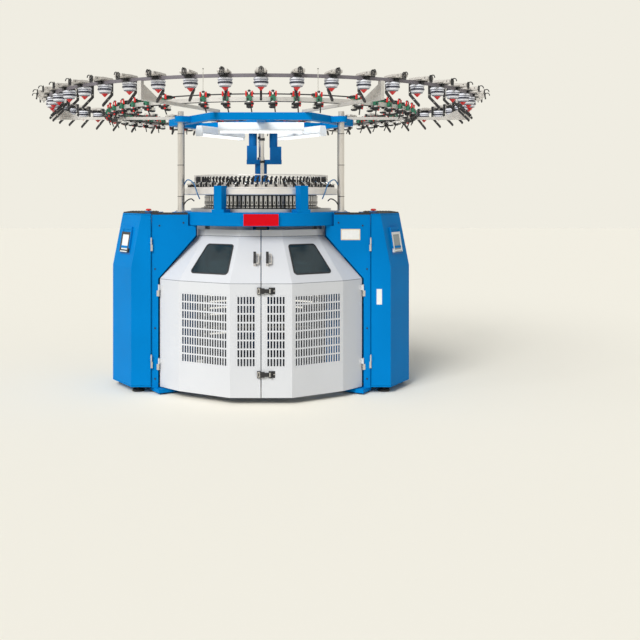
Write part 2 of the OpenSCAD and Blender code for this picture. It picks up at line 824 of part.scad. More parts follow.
gear_slack = 0.6;
module gear_ring() {
  color(steel) {
    translate([0, 0, gear_z[0]]) linear_extrude(gear_z[1] - gear_z[0]) difference() {
      rotate(shaft_pos[1] + 180 / gear_teeth) gear_outline(gear_teeth, gear_module, gear_slack / 2);
      circle(r = cyl_r - cyl_wall, $fn = 180);
    }
    ring(rotor_bore_r, cyl_r - cyl_wall, gear_z[1] - 1, bed_top_z + 1);
    ring(flange_lip, cyl_r - cyl_wall, bed_top_z + seat, bed_top_z + 12);
  }
}

// Drive shaft beside the rotor: pinion under the bed, belt wheel near the floor
pulley_z = [460, 500];
pulley_r = 60;
shaft_z = [spider_z[0] + 4, bed_top_z - 2];
module drive_shaft() {
  color(steel) at_polar(shaft_pos[0], shaft_pos[1]) rotate([0, 0, -shaft_pos[1]]) {
    translate([0, 0, shaft_z[0]]) cylinder(r = shaft_r, h = shaft_z[1] - shaft_z[0], $fn = 48);
    translate([0, 0, gear_z[0]]) linear_extrude(gear_z[1] - gear_z[0])
      rotate(shaft_pos[1] + 180) gear_outline(pinion_teeth, gear_module, gear_slack / 2);
    translate([0, 0, pulley_z[0]]) cylinder(r = pulley_r, h = pulley_z[1] - pulley_z[0], $fn = 64);
  }
}

// Drive motor, upright on the base, with its fan cowl and terminal box
motor_r = 85;
motor_top_z = 440;
motor_z = [spider_z[0] + pad_h, motor_top_z];
module drive_motor() {
  color(grey) at_polar(motor_pos[0], motor_pos[1]) difference() {
    union() {
      translate([0, 0, motor_z[0]]) cylinder(r = motor_r - 6, h = motor_z[1] - motor_z[0], $fn = 64);
      for (i = [0 : 23]) rotate([0, 0, i * 15]) box(motor_r - 8, motor_r, -2, 2, motor_z[0] + 60, motor_z[1] - 30);
      translate([0, 0, motor_z[1] - 20]) cylinder(r = motor_r, h = 20, $fn = 64);
      box(-40, 40, motor_r - 20, motor_r + 26, motor_z[0] + 130, motor_z[0] + 210);
    }
    translate([0, 0, motor_z[1] - 60]) cylinder(r = 14 + run_gap, h = 61, $fn = 48);
  }
}

module motor_pulley() {
  color(steel) at_polar(motor_pos[0], motor_pos[1]) {
    translate([0, 0, motor_z[1] - 59]) cylinder(r = 14, h = pulley_z[1] - motor_z[1] + 65, $fn = 48);
    translate([0, 0, pulley_z[0]]) cylinder(r = pulley_r, h = pulley_z[1] - pulley_z[0], $fn = 64);
  }
}

module belt_outline(grow) {
  hull() {
    rotate(shaft_pos[1]) translate([shaft_pos[0], 0]) circle(r = pulley_r + grow, $fn = 64);
    rotate(motor_pos[1]) translate([motor_pos[0], 0]) circle(r = pulley_r + grow, $fn = 64);
  }
}

module drive_belt() {
  color(dark) translate([0, 0, pulley_z[0] + 6]) linear_extrude(pulley_z[1] - pulley_z[0] - 12)
    difference() {
      belt_outline(5);
      belt_outline(0.4);
    }
}

// Fabric take-down frame that turns with the cylinder: disc, two side plates and beams
plate_x = [385, 405];
plate_y = 125;
disc_z = [122, 150];
disc_r = 430;
low_tie_z = [420, 466];
top_tie_z = [880, 940];
roller_r = 30;
journal_r = 12;
roller_z = 700;
wind_z = 400;
wind_r = 25;
module takedown_frame() {
  color(grey) difference() {
    union() {
      translate([0, 0, disc_z[0]]) cylinder(r = disc_r, h = disc_z[1] - disc_z[0], $fn = 120);
      translate([0, 0, spider_z[1] + seat]) cylinder(r = 60, h = disc_z[0] - spider_z[1], $fn = 64);
      translate([0, 0, spider_z[0]]) cylinder(r = pivot_r, h = disc_z[0] - spider_z[0] + 1, $fn = 64);
      both_sides() box(plate_x[0], plate_x[1], -plate_y, plate_y, disc_z[1] - 1, gear_z[0]);
      box(-plate_x[0] - 1, plate_x[0] + 1, -plate_y, -plate_y + 20, low_tie_z[0], low_tie_z[1]);
      box(-plate_x[0] - 1, plate_x[0] + 1, plate_y - 20, plate_y, low_tie_z[0], low_tie_z[1]);
      box(-plate_x[0] - 1, plate_x[0] + 1, plate_y - 20, plate_y, top_tie_z[0], top_tie_z[1]);
    }
    for (p = [[-roller_r - 2, roller_z], [roller_r + 2, roller_z], [0, wind_z]])
      translate([-plate_x[1] - 1, p[0], p[1]]) rotate([0, 90, 0])
        cylinder(r = journal_r + run_gap, h = 2 * plate_x[1] + 2, $fn = 48);
  }
}

module roller(y, z, r) {
  translate([-plate_x[1], y, z]) rotate([0, 90, 0]) cylinder(r = journal_r, h = 2 * plate_x[1], $fn = 48);
  translate([-plate_x[0] + 1, y, z]) rotate([0, 90, 0]) cylinder(r = r, h = 2 * plate_x[0] - 2, $fn = 64);
}

module front_takedown_roller() {
  color(dark) roller(-roller_r - 2, roller_z, roller_r);
}

module rear_takedown_roller() {
  color(dark) roller(roller_r + 2, roller_z, roller_r);
}

module winding_shaft() {
  color(steel) roller(0, wind_z, wind_r);
}

// Dial with its shaft, which turns with the cylinder and hangs on a collar
dial_shaft_r = 16;
dial_z = [cyl_top_z + 2, cyl_top_z + 14];
cam_plate_z = [1423, 1451];
column_top_z = 1631;
column_r = 44.5;
hub_z = [1840, hex_bottom_z];
dial_gap = 3;
dial_r = cyl_r - dial_gap;
module dial() {
  color(steel) {
    translate([0, 0, dial_z[0]]) cylinder(r = dial_r, h = dial_z[1] - dial_z[0], $fn = 180);
    translate([0, 0, dial_z[0]]) cylinder(r = dial_shaft_r, h = hub_z[1] - dial_z[0] - 4, $fn = 48);
    translate([0, 0, column_top_z + seat]) cylinder(r = 26, h = 18, $fn = 48);
    translate([0, 0, hub_z[0] - 55]) cylinder(r = 24, h = 18, $fn = 48);
  }
}

cam_plate_r = 485;
module dial_cam_plate() {
  color(steel) rotate_extrude($fn = 180)
    polygon([
      [dial_shaft_r + run_gap, cam_plate_z[0]], [dial_r + 8, cam_plate_z[0]],
      [dial_r + 22, cam_plate_z[0] + 6], [cam_plate_r, cam_plate_z[0] + 6],
      [cam_plate_r, cam_plate_z[1] - 3], [cam_plate_r - 3, cam_plate_z[1]],
      [dial_shaft_r + run_gap, cam_plate_z[1]]
    ]);
}

module centre_column() {
  color(blue) rotate_extrude($fn = 64)
    polygon([
      [dial_shaft_r + run_gap, cam_plate_z[1]], [78, cam_plate_z[1]], [78, cam_plate_z[1] + 14],
      [52, cam_plate_z[1] + 40], [column_r, cam_plate_z[1] + 76], [column_r, column_top_z],
      [dial_shaft_r + run_gap, column_top_z]
    ]);
}

// Hub under the top frame: plate, two gear pots with blocks, and the bridge to the column
hub_half = [135, 70];
pot_x = [-60, 92];
pot_r = 30;
block_x = [[-104, -30], [66, 150]];
block_top_z = [1735, 1728];
bridge_z = column_top_z - 31;
module drive_hub() {
  color(blue) difference() {
    union() {
      box(-hub_half[0], hub_half[0], -hub_half[1], hub_half[1], hub_z[0], hub_z[1]);
      for (i = [0, 1]) {
        translate([pot_x[i], 0, block_top_z[i] - 5])
          cylinder(r = pot_r, h = hub_z[0] - block_top_z[i] + 6, $fn = 48);
        box(block_x[i][0], block_x[i][1], -45, 45, column_top_z - 1, block_top_z[i]);
      }
      box(block_x[0][0] - 2, block_x[1][1] + 2, -52, 52, bridge_z, column_top_z);
    }
    translate([0, 0, bridge_z - 1]) cylinder(r = column_r + seat, h = 40, $fn = 64);
    translate([0, 0, hub_z[0] - 1]) cylinder(r = dial_shaft_r + run_gap, h = 60, $fn = 48);
  }
}

// Chrome posts from the bed lugs through the top frame
module posts() {
  color(steel) for (a = leg_angles) at_polar(post_circle_r, a) {
    translate([0, 0, bed_top_z]) cylinder(r = post_d / 2, h = post_top_z - bed_top_z, $fn = 48);
    translate([0, 0, bed_top_z]) cylinder(r = post_d / 2 + 12, h = 12, $fn = 48);
  }
}

spoke_angles = [-90, 30, 150];
module top_frame() {
  color(blue) translate([0, 0, hex_bottom_z]) difference() {
    union() {
      linear_extrude(hex_h) difference() {
        circle(r = hex_apothem / cos(30), $fn = 6);
        circle(r = (hex_apothem - hex_bar) / cos(30), $fn = 6);
      }
      for (a = spoke_angles) rotate([0, 0, a]) box(0, hex_apothem - hex_bar + 5, -30, 30, 0, hex_h - 6);
      cylinder(r = 110, h = hex_h - 6, $fn = 64);
      for (a = leg_angles) rotate([0, 0, a]) {
        box(hex_apothem - 10, post_circle_r, -42, 42, 4, hex_h - 4);
        translate([post_circle_r, 0, 4]) cylinder(r = 42, h = hex_h - 8, $fn = 48);
      }
    }
    for (a = leg_angles) at_polar(post_circle_r, a)
      translate([0, 0, -1]) cylinder(r = post_d / 2 + seat / 3, h = hex_h + 2, $fn = 48);
    translate([0, 0, -1]) cylinder(r = dial_shaft_r + 10, h = 20, $fn = 48);
  }
}

// Three lamp housings under the spokes, with angled reflector sides
lamp_r = 350;
lamp_len = 600;
module lamps() {
  color(white) for (a = spoke_angles) at_polar(lamp_r, a)
    translate([0, lamp_len / 2, hex_bottom_z]) rotate([90, 0, 0]) linear_extrude(lamp_len)
      polygon([[-18, 0], [18, 0], [24, -10], [34, -52], [28, -60], [-28, -60], [-34, -52], [-24, -10]]);
}

// Six arms on the top frame that carry both yarn feed rings, each between two storage feeders
arm_slots = [3, 11, 19, 26, 34, 42];
arm_h = 20;
arm_w = 24;
arm_top_z = hex_bottom_z + hex_h + arm_h;
ring_bar_w = 12;
function unit_angle(i, n) = -90 + i * 360 / n;
arm_angles = [for (k = arm_slots) unit_angle(k + 0.5, storage_count)];
module ring_arms() {
  color(grey) for (a = arm_angles) rotate([0, 0, a]) {
    box(hex_apothem + 34, outer_ring_r + 14, -arm_w / 2, arm_w / 2, arm_top_z - arm_h, arm_top_z);
    box(outer_ring_r - 14, outer_ring_r + 14, -arm_w / 2, arm_w / 2, arm_top_z - 1, outer_ring_z);
    translate([0, 4, arm_top_z - 1]) rotate([90, 0, 0]) linear_extrude(8)
      polygon([[outer_ring_r - 190, 0], [outer_ring_r - 10, 0],
        [outer_ring_r - 10, outer_ring_z - arm_top_z - 8]]);
  }
}

outer_ring_h = 20;
module outer_ring() {
  color(grey) ring(outer_ring_r + ring_bar_w / 2, outer_ring_r - ring_bar_w / 2,
    outer_ring_z, outer_ring_z + outer_ring_h);
}

inner_bar_r = inner_ring_r + 36;
inner_bar_h = 26;
module inner_ring() {
  color(grey) ring(inner_bar_r + ring_bar_w / 2, inner_bar_r - ring_bar_w / 2,
    arm_top_z, arm_top_z + inner_bar_h);
}

// Housings of the storage feeders, clamped on the outer ring: a long body with a raised lid
housing_z = outer_ring_z + outer_ring_h;
drum_r_pos = outer_ring_r - 26;
hook_r = outer_ring_r + 90;
module storage_housings() {
  color(grey) for (i = [0 : storage_count - 1]) rotate([0, 0, unit_angle(i, storage_count)]) {
    translate([0, 23, housing_z]) rotate([90, 0, 0]) linear_extrude(46)
      polygon([
        [drum_r_pos - 48, 4], [drum_r_pos - 42, 0], [hook_r - 32, 0], [hook_r - 26, 6],
        [hook_r - 26, 14], [hook_r - 40, 24], [drum_r_pos - 30, 24], [drum_r_pos - 48, 14]
      ]);
    box(outer_ring_r + ring_bar_w / 2, outer_ring_r + ring_bar_w / 2 + 10, -14, 14,
      outer_ring_z, housing_z + 1);
  }
}

// Yarn storage drums hanging below the housings, each with its spindle and conical tip
module storage_drums() {
  r = drum_d / 2;
  t = housing_z - 20;
  color(white) for (i = [0 : storage_count - 1]) at_polar(drum_r_pos, unit_angle(i, storage_count))
    rotate_extrude($fn = 32)
      polygon([
        [0, housing_z], [6, housing_z], [6, t], [r, t - 2], [r, t - 12], [r - 5, t - 14], [r - 3, t - 30],
        [r, t - 32], [r, t - 36], [r - 6, t - 40], [r - 12, t - 54], [18, t - 56], [3, t - 74], [0, t - 74]
      ]);
}

// Entry hook at the outer end and exit arm at the inner end of each storage feeder
module storage_hooks() {
  color(dark) for (i = [0 : storage_count - 1]) rotate([0, 0, unit_angle(i, storage_count)]) {
    translate([hook_r, 3, housing_z + 12]) rotate([90, 0, 0]) linear_extrude(6) difference() {
      circle(r = 24, $fn = 24);
      circle(r = 17, $fn = 24);
      rotate(-100) square([40, 40]);
    }
    box(hook_r - 26, hook_r - 16, -4, 4, housing_z + 8, housing_z + 14);
    translate([drum_r_pos - 60, 4, 0]) rotate([90, 0, 0]) linear_extrude(8) polygon([
      [12, housing_z + 8], [12, housing_z + 14], [0, housing_z + 14], [0, housing_z - 78],
      [44, housing_z - 118], [52, housing_z - 112], [8, housing_z - 74], [8, housing_z + 8]
    ]);
  }
}

// Places of the positive feeders, without those that an arm takes
arm_room = 2.4;
function by_arm(a) = min([for (b = arm_angles) abs((a - b + 540) % 360 - 180)]) < arm_room;
feeder_angles = [
  for (i = [0 : feeder_count - 1]) let (a = unit_angle(i + 0.5, feeder_count)) if (!by_arm(a)) a
];

// Positive yarn feeders: a body block on the inner ring bar with a bracket foot
body_z = arm_top_z + 12;
body_h = 34;
module feeder_bodies() {
  color(green) for (a = feeder_angles) rotate([0, 0, a]) {
      difference() {
        union() {
          box(inner_ring_r - 16, inner_bar_r - ring_bar_w / 2 - seat, -15, 15, body_z, body_z + body_h);
          translate([inner_ring_r, 0, body_z]) cylinder(r = 20, h = body_h, $fn = 24);
        }
        translate([inner_ring_r, 0, body_z - 1]) cylinder(r = 6 + seat, h = body_h + 2, $fn = 24);
      }
      translate([inner_ring_r - 20, 6, body_z + 14]) rotate([90, 0, 0]) linear_extrude(12)
        polygon([[8, 0], [8, 14], [-46, 34], [-50, 28], [0, 8]]);
    }
}

// Belt wheels above and below each body, the yarn wheel beneath, all on one spindle
module feeder_wheels() {
  top = body_z + body_h;
  color(red) for (a = feeder_angles) at_polar(inner_ring_r, a)
    rotate_extrude($fn = 24)
      polygon([
        [0, top + 15], [8, top + 15], [28, top + 11], [28, top + 1], [6, top + 0.5],
        [6, body_z - 1], [28, body_z - 1], [28, body_z - 11], [10, body_z - 14], [22, body_z - 22],
        [22, body_z - 44], [12, body_z - 52], [0, body_z - 52]
      ]);
}

// Flat belts that run round inside the belt wheels
module feed_belts() {
  r = inner_ring_r - 28 - seat;
  color(dark) for (z = [body_z + body_h + 2, body_z - 10])
    ring(r, r - 1.2, z, z + 8);
}

// Mounting plate with the inverter, contactor rows and terminals inside the left cabinet
module control_boxes() {
  x0 = cab_inner_x + cab_sheet;
  y0 = -330;
  color(grey) mirror([1, 0, 0]) {
    box(x0, x0 + 3, y0, y0 + 520, 260, 1140);
    box(x0 + 2, x0 + 140, y0 + 40, y0 + 220, 820, 1080);
    box(x0 + 2, x0 + 110, y0 + 270, y0 + 400, 840, 1060);
    for (row = [0 : 2], i = [0 : 5])
      box(x0 + 2, x0 + 80, y0 + 30 + i * 60, y0 + 76 + i * 60, 400 + row * 130, 480 + row * 130);
  }
}

front_legs();
rear_leg();
levelling_feet();
base_spider();
bed_ring();
front_plate();
side_panels();
rear_guards();
left_cabinet();
right_cabinet();
top_mats();
hinge_pins();
base_plate();
ring_pillars();
cam_drum();
cam_ring();
yarn_feeders();
yarn_guide_ring();
dial_cam_plate();
centre_column();
drive_hub();
posts();
top_frame();
lamps();
ring_arms();
outer_ring();
inner_ring();
storage_housings();
storage_drums();
storage_hooks();
feeder_bodies();
feeder_wheels();
feed_belts();
control_boxes();
drive_motor();
motor_pulley();
drive_belt();
left_door();
left_grilles();
left_window();
left_handle();
right_door();
right_grilles();
right_window();
right_handle();
upper_latch();
lower_latch();
left_cabinet_door();
right_cabinet_door();
left_stop_button();
right_stop_button();
needle_cylinder();
gear_ring();
takedown_frame();
front_takedown_roller();
rear_takedown_roller();
winding_shaft();
dial();
drive_shaft();
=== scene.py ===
from math import atan2, cos, pi, radians, sin

import bmesh
import bpy
from mathutils import Matrix, Vector


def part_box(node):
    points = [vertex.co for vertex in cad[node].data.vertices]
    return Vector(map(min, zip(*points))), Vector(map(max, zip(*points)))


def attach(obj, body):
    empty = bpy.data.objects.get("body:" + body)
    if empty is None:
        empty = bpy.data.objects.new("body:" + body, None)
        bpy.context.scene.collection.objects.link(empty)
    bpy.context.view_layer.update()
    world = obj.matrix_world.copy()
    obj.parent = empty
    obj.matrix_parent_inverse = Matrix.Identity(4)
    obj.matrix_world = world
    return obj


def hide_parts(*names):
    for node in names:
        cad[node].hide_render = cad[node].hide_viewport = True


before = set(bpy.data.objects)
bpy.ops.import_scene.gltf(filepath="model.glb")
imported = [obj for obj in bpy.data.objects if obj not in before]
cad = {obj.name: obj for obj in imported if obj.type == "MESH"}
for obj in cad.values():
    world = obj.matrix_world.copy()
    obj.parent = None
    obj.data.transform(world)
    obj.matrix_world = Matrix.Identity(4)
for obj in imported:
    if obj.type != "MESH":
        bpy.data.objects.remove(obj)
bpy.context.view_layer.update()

# The room: a plain pale floor, and the same pale tone behind and in reflections. The floor
# is matt and keeps the machine's soft shadow. All lengths are in metres.
BACKDROP = (0.871, 0.847, 0.761)
FLOOR_TONE = (0.922, 0.880, 0.772)
ROOM_LIGHT = (0.92, 0.96, 1.0)
ROOM_LIGHT_LEVEL = 0.36
FLOOR_SIZE = 60.0


def put(node, **values):
    """Sets inputs of a shader node; an underscore stands for a space in an input's name."""
    for name, value in values.items():
        node.inputs[name.replace("_", " ")].default_value = value
    return node


floor_mesh = bpy.data.meshes.new("floor")
half = FLOOR_SIZE / 2
floor_mesh.from_pydata([(-half, -half, 0), (half, -half, 0), (half, half, 0), (-half, half, 0)],
                       [], [(0, 1, 2, 3)])
floor = bpy.data.objects.new("floor", floor_mesh)
bpy.context.scene.collection.objects.link(floor)

floor_paint = bpy.data.materials.new("floor_paint")
floor_paint.use_nodes = True
put(floor_paint.node_tree.nodes["Principled BSDF"],
    Base_Color=(*FLOOR_TONE, 1), Roughness=0.95, Specular_IOR_Level=0.1)
floor_mesh.materials.append(floor_paint)

world = bpy.data.worlds.new("room")
bpy.context.scene.world = world
world.use_nodes = True
sky = world.node_tree
sky.nodes.clear()
seen = put(sky.nodes.new("ShaderNodeBackground"), Color=(*BACKDROP, 1), Strength=1.0)
lighting = put(sky.nodes.new("ShaderNodeBackground"),
               Color=(*ROOM_LIGHT, 1), Strength=ROOM_LIGHT_LEVEL)
rays = sky.nodes.new("ShaderNodeLightPath")
sees_backdrop = rays.outputs["Is Camera Ray"]
for kind in ("Is Glossy Ray", "Is Transmission Ray"):
    either = sky.nodes.new("ShaderNodeMath")
    either.operation = "MAXIMUM"
    sky.links.new(sees_backdrop, either.inputs[0])
    sky.links.new(rays.outputs[kind], either.inputs[1])
    sees_backdrop = either.outputs[0]
choose = sky.nodes.new("ShaderNodeMixShader")
sky_out = sky.nodes.new("ShaderNodeOutputWorld")
sky.links.new(sees_backdrop, choose.inputs[0])
sky.links.new(lighting.outputs[0], choose.inputs[1])
sky.links.new(seen.outputs[0], choose.inputs[2])
sky.links.new(choose.outputs[0], sky_out.inputs[0])

# The camera stands level, 6.5 m from the cylinder's axis at 1.37 m. Its lens is shifted, so
# that the machine sits up and to the left in the frame. Pixels are those of the photograph.
CAMERA_AWAY = 6.5
CAMERA_HIGH = 1.372
FOCAL_PX = 878.0
FRAME_PX = 640.0
AXIS_PX = 261.0
HORIZON_PX = 195.0
SENSOR_WIDE = 36.0

camera_data = bpy.data.cameras.new("camera")
camera_data.sensor_width = SENSOR_WIDE
camera_data.lens = FOCAL_PX / FRAME_PX * camera_data.sensor_width
camera_data.shift_x = (FRAME_PX / 2 - AXIS_PX) / FRAME_PX
camera_data.shift_y = (HORIZON_PX - FRAME_PX / 2) / FRAME_PX
camera = bpy.data.objects.new("camera", camera_data)
camera.location = (0, -CAMERA_AWAY, CAMERA_HIGH)
camera.rotation_euler = (radians(90), 0, 0)
bpy.context.scene.collection.objects.link(camera)
bpy.context.scene.camera = camera
bpy.context.scene.view_settings.view_transform = "Standard"

# Soft light of the studio: a key from the front left, weak ones from both sides and a faint
# one from behind. Distant lamps keep the floor one tone out to the backdrop.
# Each has a bearing and a height in degrees, a power, and a softness in degrees.
LAMP_AWAY = 6
for lamp_name, bearing, height, power, softness in (
    ("key", -31, 38, 2.75, 30),
    ("side", -85, 25, 0.30, 40),
    ("fill", 50, 30, 0.12, 40),
    ("rear", 170, 50, 0.13, 40),
):
    lamp_data = bpy.data.lights.new(lamp_name, "SUN")
    lamp_data.energy = power
    lamp_data.angle = radians(softness)
    lamp_object = bpy.data.objects.new(lamp_name, lamp_data)
    away = Vector((sin(radians(bearing)) * cos(radians(height)),
                   -cos(radians(bearing)) * cos(radians(height)), sin(radians(height))))
    lamp_object.location = away * LAMP_AWAY
    lamp_object.rotation_euler = away.to_track_quat("Z", "Y").to_euler()
    bpy.context.scene.collection.objects.link(lamp_object)


# Steel sheet and castings of the frame, cabinets and side panels, stove enamelled in one
# sky blue. The coat is smooth with a faint orange peel, and a little paler where it is thin.
def toned(name, colour, rough, scale, detail, darker, lighter, spots=(0.0, 1.0)):
    """Finish with a drift of tone and gloss over the piece; returns it with its drift node."""
    made = bpy.data.materials.new(name)
    made.use_nodes = True
    tree = made.node_tree
    link = tree.links.new
    skin = tree.nodes["Principled BSDF"]
    place = tree.nodes.new("ShaderNodeTexCoord")
    drift = put(tree.nodes.new("ShaderNodeTexNoise"), Scale=scale, Detail=detail)
    tones = tree.nodes.new("ShaderNodeValToRGB")
    for end, spot, change in zip(tones.color_ramp.elements, spots, (-darker, lighter)):
        end.position = spot
        end.color = (*[min(1, c * (1 + change)) for c in colour], 1)
    rub = put(tree.nodes.new("ShaderNodeMapRange"),
              To_Min=max(0.05, rough - 0.06), To_Max=rough + 0.08)
    link(place.outputs["Object"], drift.inputs["Vector"])
    link(drift.outputs["Fac"], tones.inputs["Fac"])
    link(drift.outputs["Fac"], rub.inputs["Value"])
    link(tones.outputs["Color"], skin.inputs["Base Color"])
    link(rub.outputs["Result"], skin.inputs["Roughness"])
    return made, drift


def add_relief(made, grain, strength):
    """Lets a noise raise and lower the surface a little."""
    tree = made.node_tree
    relief = put(tree.nodes.new("ShaderNodeBump"), Strength=strength, Distance=0.001)
    tree.links.new(grain.outputs["Fac"], relief.inputs["Height"])
    tree.links.new(relief.outputs["Normal"], tree.nodes["Principled BSDF"].inputs["Normal"])


def enamel(name, colour, rough=0.42, spread=0.08, shine=0.25, peel=0.04):
    """Sprayed enamel: a slow drift of tone, a fine peel in the coat and a soft clear gloss."""
    made, drift = toned(name, colour, rough, 2.4, 4.0, spread, spread * 0.6, (0.3, 0.7))
    tree = made.node_tree
    grain = put(tree.nodes.new("ShaderNodeTexNoise"), Scale=420.0, Detail=2.0)
    tree.links.new(drift.inputs["Vector"].links[0].from_socket, grain.inputs["Vector"])
    add_relief(made, grain, peel)
    put(tree.nodes["Principled BSDF"], Specular_IOR_Level=shine)
    return made


def dress(material, *names):
    """Gives the carried-over pieces their finish."""
    for name in names:
        mesh = cad[name].data
        mesh.materials.clear()
        mesh.materials.append(material)


sky_blue = enamel("sky_blue_enamel", (0.0, 0.195, 0.54), shine=0.03)
dress(sky_blue, "front_legs", "rear_leg", "base_spider", "bed_ring", "side_panels",
      "left_cabinet", "right_cabinet", "left_cabinet_door", "right_cabinet_door",
      "ring_pillars", "top_frame")
deep_blue = enamel("deep_blue_enamel", (0.0, 0.13, 0.40), shine=0.15)
dress(deep_blue, "drive_hub", "centre_column")

# Safety doors, their punched grilles and the rear guards: folded and punched steel sheet of
# 1.5 to 2 mm, powder coated in satin white. The doors hang on barrel hinges at the sides.
door_white = enamel("door_white_enamel", (0.63, 0.64, 0.66), rough=0.42, spread=0.02, shine=0.3)
dress(door_white, "left_door", "right_door", "left_grilles", "right_grilles", "rear_guards")

# The doors' upper and lower sheets meet in a fine seam at the shoulder, and a second fold lies
# under the top edge. A thin dark line of painted shade runs along both, and the sheets keep
# flat shading.
SEAM_HEIGHTS = (0.7915, 1.0905)
SEAM_HALF = 0.0017
# Colour of the thin painted shade lines along the two folds.
FOLD_PAINTED_SHADE = (0.16, 0.17, 0.19)
door_white_fold_shade = door_white.copy()
door_white_fold_shade.name = "door_white_seamed"
tree = door_white_fold_shade.node_tree
skin = tree.nodes["Principled BSDF"]
place = tree.nodes.new("ShaderNodeTexCoord")
split = tree.nodes.new("ShaderNodeSeparateXYZ")
tree.links.new(place.outputs["Object"], split.inputs[0])
tone = skin.inputs["Base Color"].links[0].from_socket
for height in SEAM_HEIGHTS:
    near = tree.nodes.new("ShaderNodeMath")
    near.operation = "COMPARE"
    near.inputs[1].default_value = height
    near.inputs[2].default_value = SEAM_HALF
    shade = tree.nodes.new("ShaderNodeMix")
    shade.data_type = "RGBA"
    shade.inputs["B"].default_value = (*FOLD_PAINTED_SHADE, 1)
    tree.links.new(split.outputs["Z"], near.inputs[0])
    tree.links.new(near.outputs[0], shade.inputs["Factor"])
    tree.links.new(tone, shade.inputs["A"])
    tone = shade.outputs["Result"]
tree.links.new(tone, skin.inputs["Base Color"])
dress(door_white_fold_shade, "left_door", "right_door")


# Ring of storage feeders on the outer bar: moulded housings, spun drums, cone tips and wire
# hooks. One unit is drawn at the origin with +X pointing away from the machine's axis, then a
# Geometry Nodes tree copies it round the ring.
def circle(radius, height, count):
    """Evenly spaced points of a level circle round the axis."""
    turns = [2 * pi * k / count for k in range(count)]
    return [(radius * cos(a), radius * sin(a), height) for a in turns]


def lathe(profile, segments):
    """Turned body from a profile of (radius, height) pairs, listed from top to bottom."""
    verts, faces = [], []
    for radius, height in profile:
        verts += circle(radius, height, segments)
    for row in range(0, len(verts) - segments, segments):
        for k in range(segments):
            n = (k + 1) % segments
            faces.append((row + k, row + segments + k, row + segments + n, row + n))
    faces.append(tuple(range(segments)))
    faces.append(tuple(reversed(range(len(verts) - segments, len(verts)))))
    return verts, faces


def plate(outline, w0, w1):
    """Flat shape in U and V with a thickness along W."""
    n = len(outline)
    verts = [(u, v, w0) for u, v in outline] + [(u, v, w1) for u, v in outline]
    faces = [tuple(reversed(range(n))), tuple(range(n, 2 * n))]
    faces += [(k, (k + 1) % n, (k + 1) % n + n, k + n) for k in range(n)]
    return verts, faces


def block(x0, x1, y0, y1, z0, z1):
    """Plain box."""
    return plate(((x0, y0), (x1, y0), (x1, y1), (x0, y1)), z0, z1)


def slab(outline, y0, y1):
    """Flat shape drawn in X and Z (counter-clockwise seen from -Y), given a width along Y."""
    n = len(outline)
    verts = [(x, y0, z) for x, z in outline] + [(x, y1, z) for x, z in outline]
    faces = [tuple(range(n)), tuple(range(2 * n - 1, n - 1, -1))]
    faces += [(k, k + n, (k + 1) % n + n, (k + 1) % n) for k in range(n)]
    return verts, faces


def rod(start, end, radius, segments=8):
    """Round bar between two points."""
    start, end = Vector(start), Vector(end)
    turn = (end - start).to_track_quat("Z", "Y")
    length = (end - start).length
    verts, faces = lathe([(radius, length), (radius, 0)], segments)
    return [tuple(start + turn @ Vector(v)) for v in verts], faces


def moved(shape, place=(0, 0, 0), spin=0.0):
    """Shape turned about Z, then shifted."""
    turn = Matrix.Rotation(spin, 4, "Z")
    return [tuple(turn @ Vector(v) + Vector(place)) for v in shape[0]], shape[1]


ROUND = 0.6  # edges under this angle, in radians, belong to a round surface


def build(name, shapes, smooth=False, bevel=0.0):
    """Object of several closed bodies, with faces outward and edges softened where asked."""
    work = bmesh.new()
    for verts, faces in shapes:
        made = [work.verts.new(v) for v in verts]
        for face in faces:
            work.faces.new([made[i] for i in face])
    bmesh.ops.recalc_face_normals(work, faces=work.faces)
    if bevel:
        sharp = [e for e in work.edges if len(e.link_faces) == 2 and e.calc_face_angle(0) > ROUND]
        bmesh.ops.bevel(work, geom=sharp, offset=bevel, segments=1, affect="EDGES",
                        clamp_overlap=True)
    mesh = bpy.data.meshes.new(name)
    work.to_mesh(mesh)
    work.free()
    if smooth:
        mesh.shade_smooth()
        mesh.set_sharp_from_angle(angle=ROUND)
    piece = bpy.data.objects.new(name, mesh)
    bpy.context.scene.collection.objects.link(piece)
    return piece


def row_tree():
    """Geometry Nodes tree: copies a unit to each point of a row, turned away from the axis."""
    tree = bpy.data.node_groups.new("ring_row", "GeometryNodeTree")
    for name, way, kind in (("Geometry", "INPUT", "Geometry"), ("Unit", "INPUT", "Object"),
                            ("Finish", "INPUT", "Material"), ("Geometry", "OUTPUT", "Geometry")):
        tree.interface.new_socket(name, in_out=way, socket_type="NodeSocket" + kind)
    new, link = tree.nodes.new, tree.links.new
    given = new("NodeGroupInput")
    unit = new("GeometryNodeObjectInfo")
    place = new("GeometryNodeInputPosition")
    split = new("ShaderNodeSeparateXYZ")
    bearing = new("ShaderNodeMath")
    bearing.operation = "ARCTAN2"
    turn = new("ShaderNodeCombineXYZ")
    copies = new("GeometryNodeInstanceOnPoints")
    real = new("GeometryNodeRealizeInstances")
    paint = new("GeometryNodeSetMaterial")
    result = new("NodeGroupOutput")
    link(given.outputs["Unit"], unit.inputs["Object"])
    link(place.outputs["Position"], split.inputs[0])
    link(split.outputs["Y"], bearing.inputs[0])
    link(split.outputs["X"], bearing.inputs[1])
    link(bearing.outputs[0], turn.inputs["Z"])
    link(given.outputs["Geometry"], copies.inputs["Points"])
    link(unit.outputs["Geometry"], copies.inputs["Instance"])
    link(turn.outputs[0], copies.inputs["Rotation"])
    link(copies.outputs["Instances"], real.inputs["Geometry"])
    link(real.outputs["Geometry"], paint.inputs["Geometry"])
    link(given.outputs["Finish"], paint.inputs["Material"])
    link(paint.outputs["Geometry"], result.inputs["Geometry"])
    return tree


ring_row = row_tree()


def polar(radius, bearing, height):
    """Point at a bearing in degrees round the axis."""
    return (radius * cos(radians(bearing)), radius * sin(radians(bearing)), height)


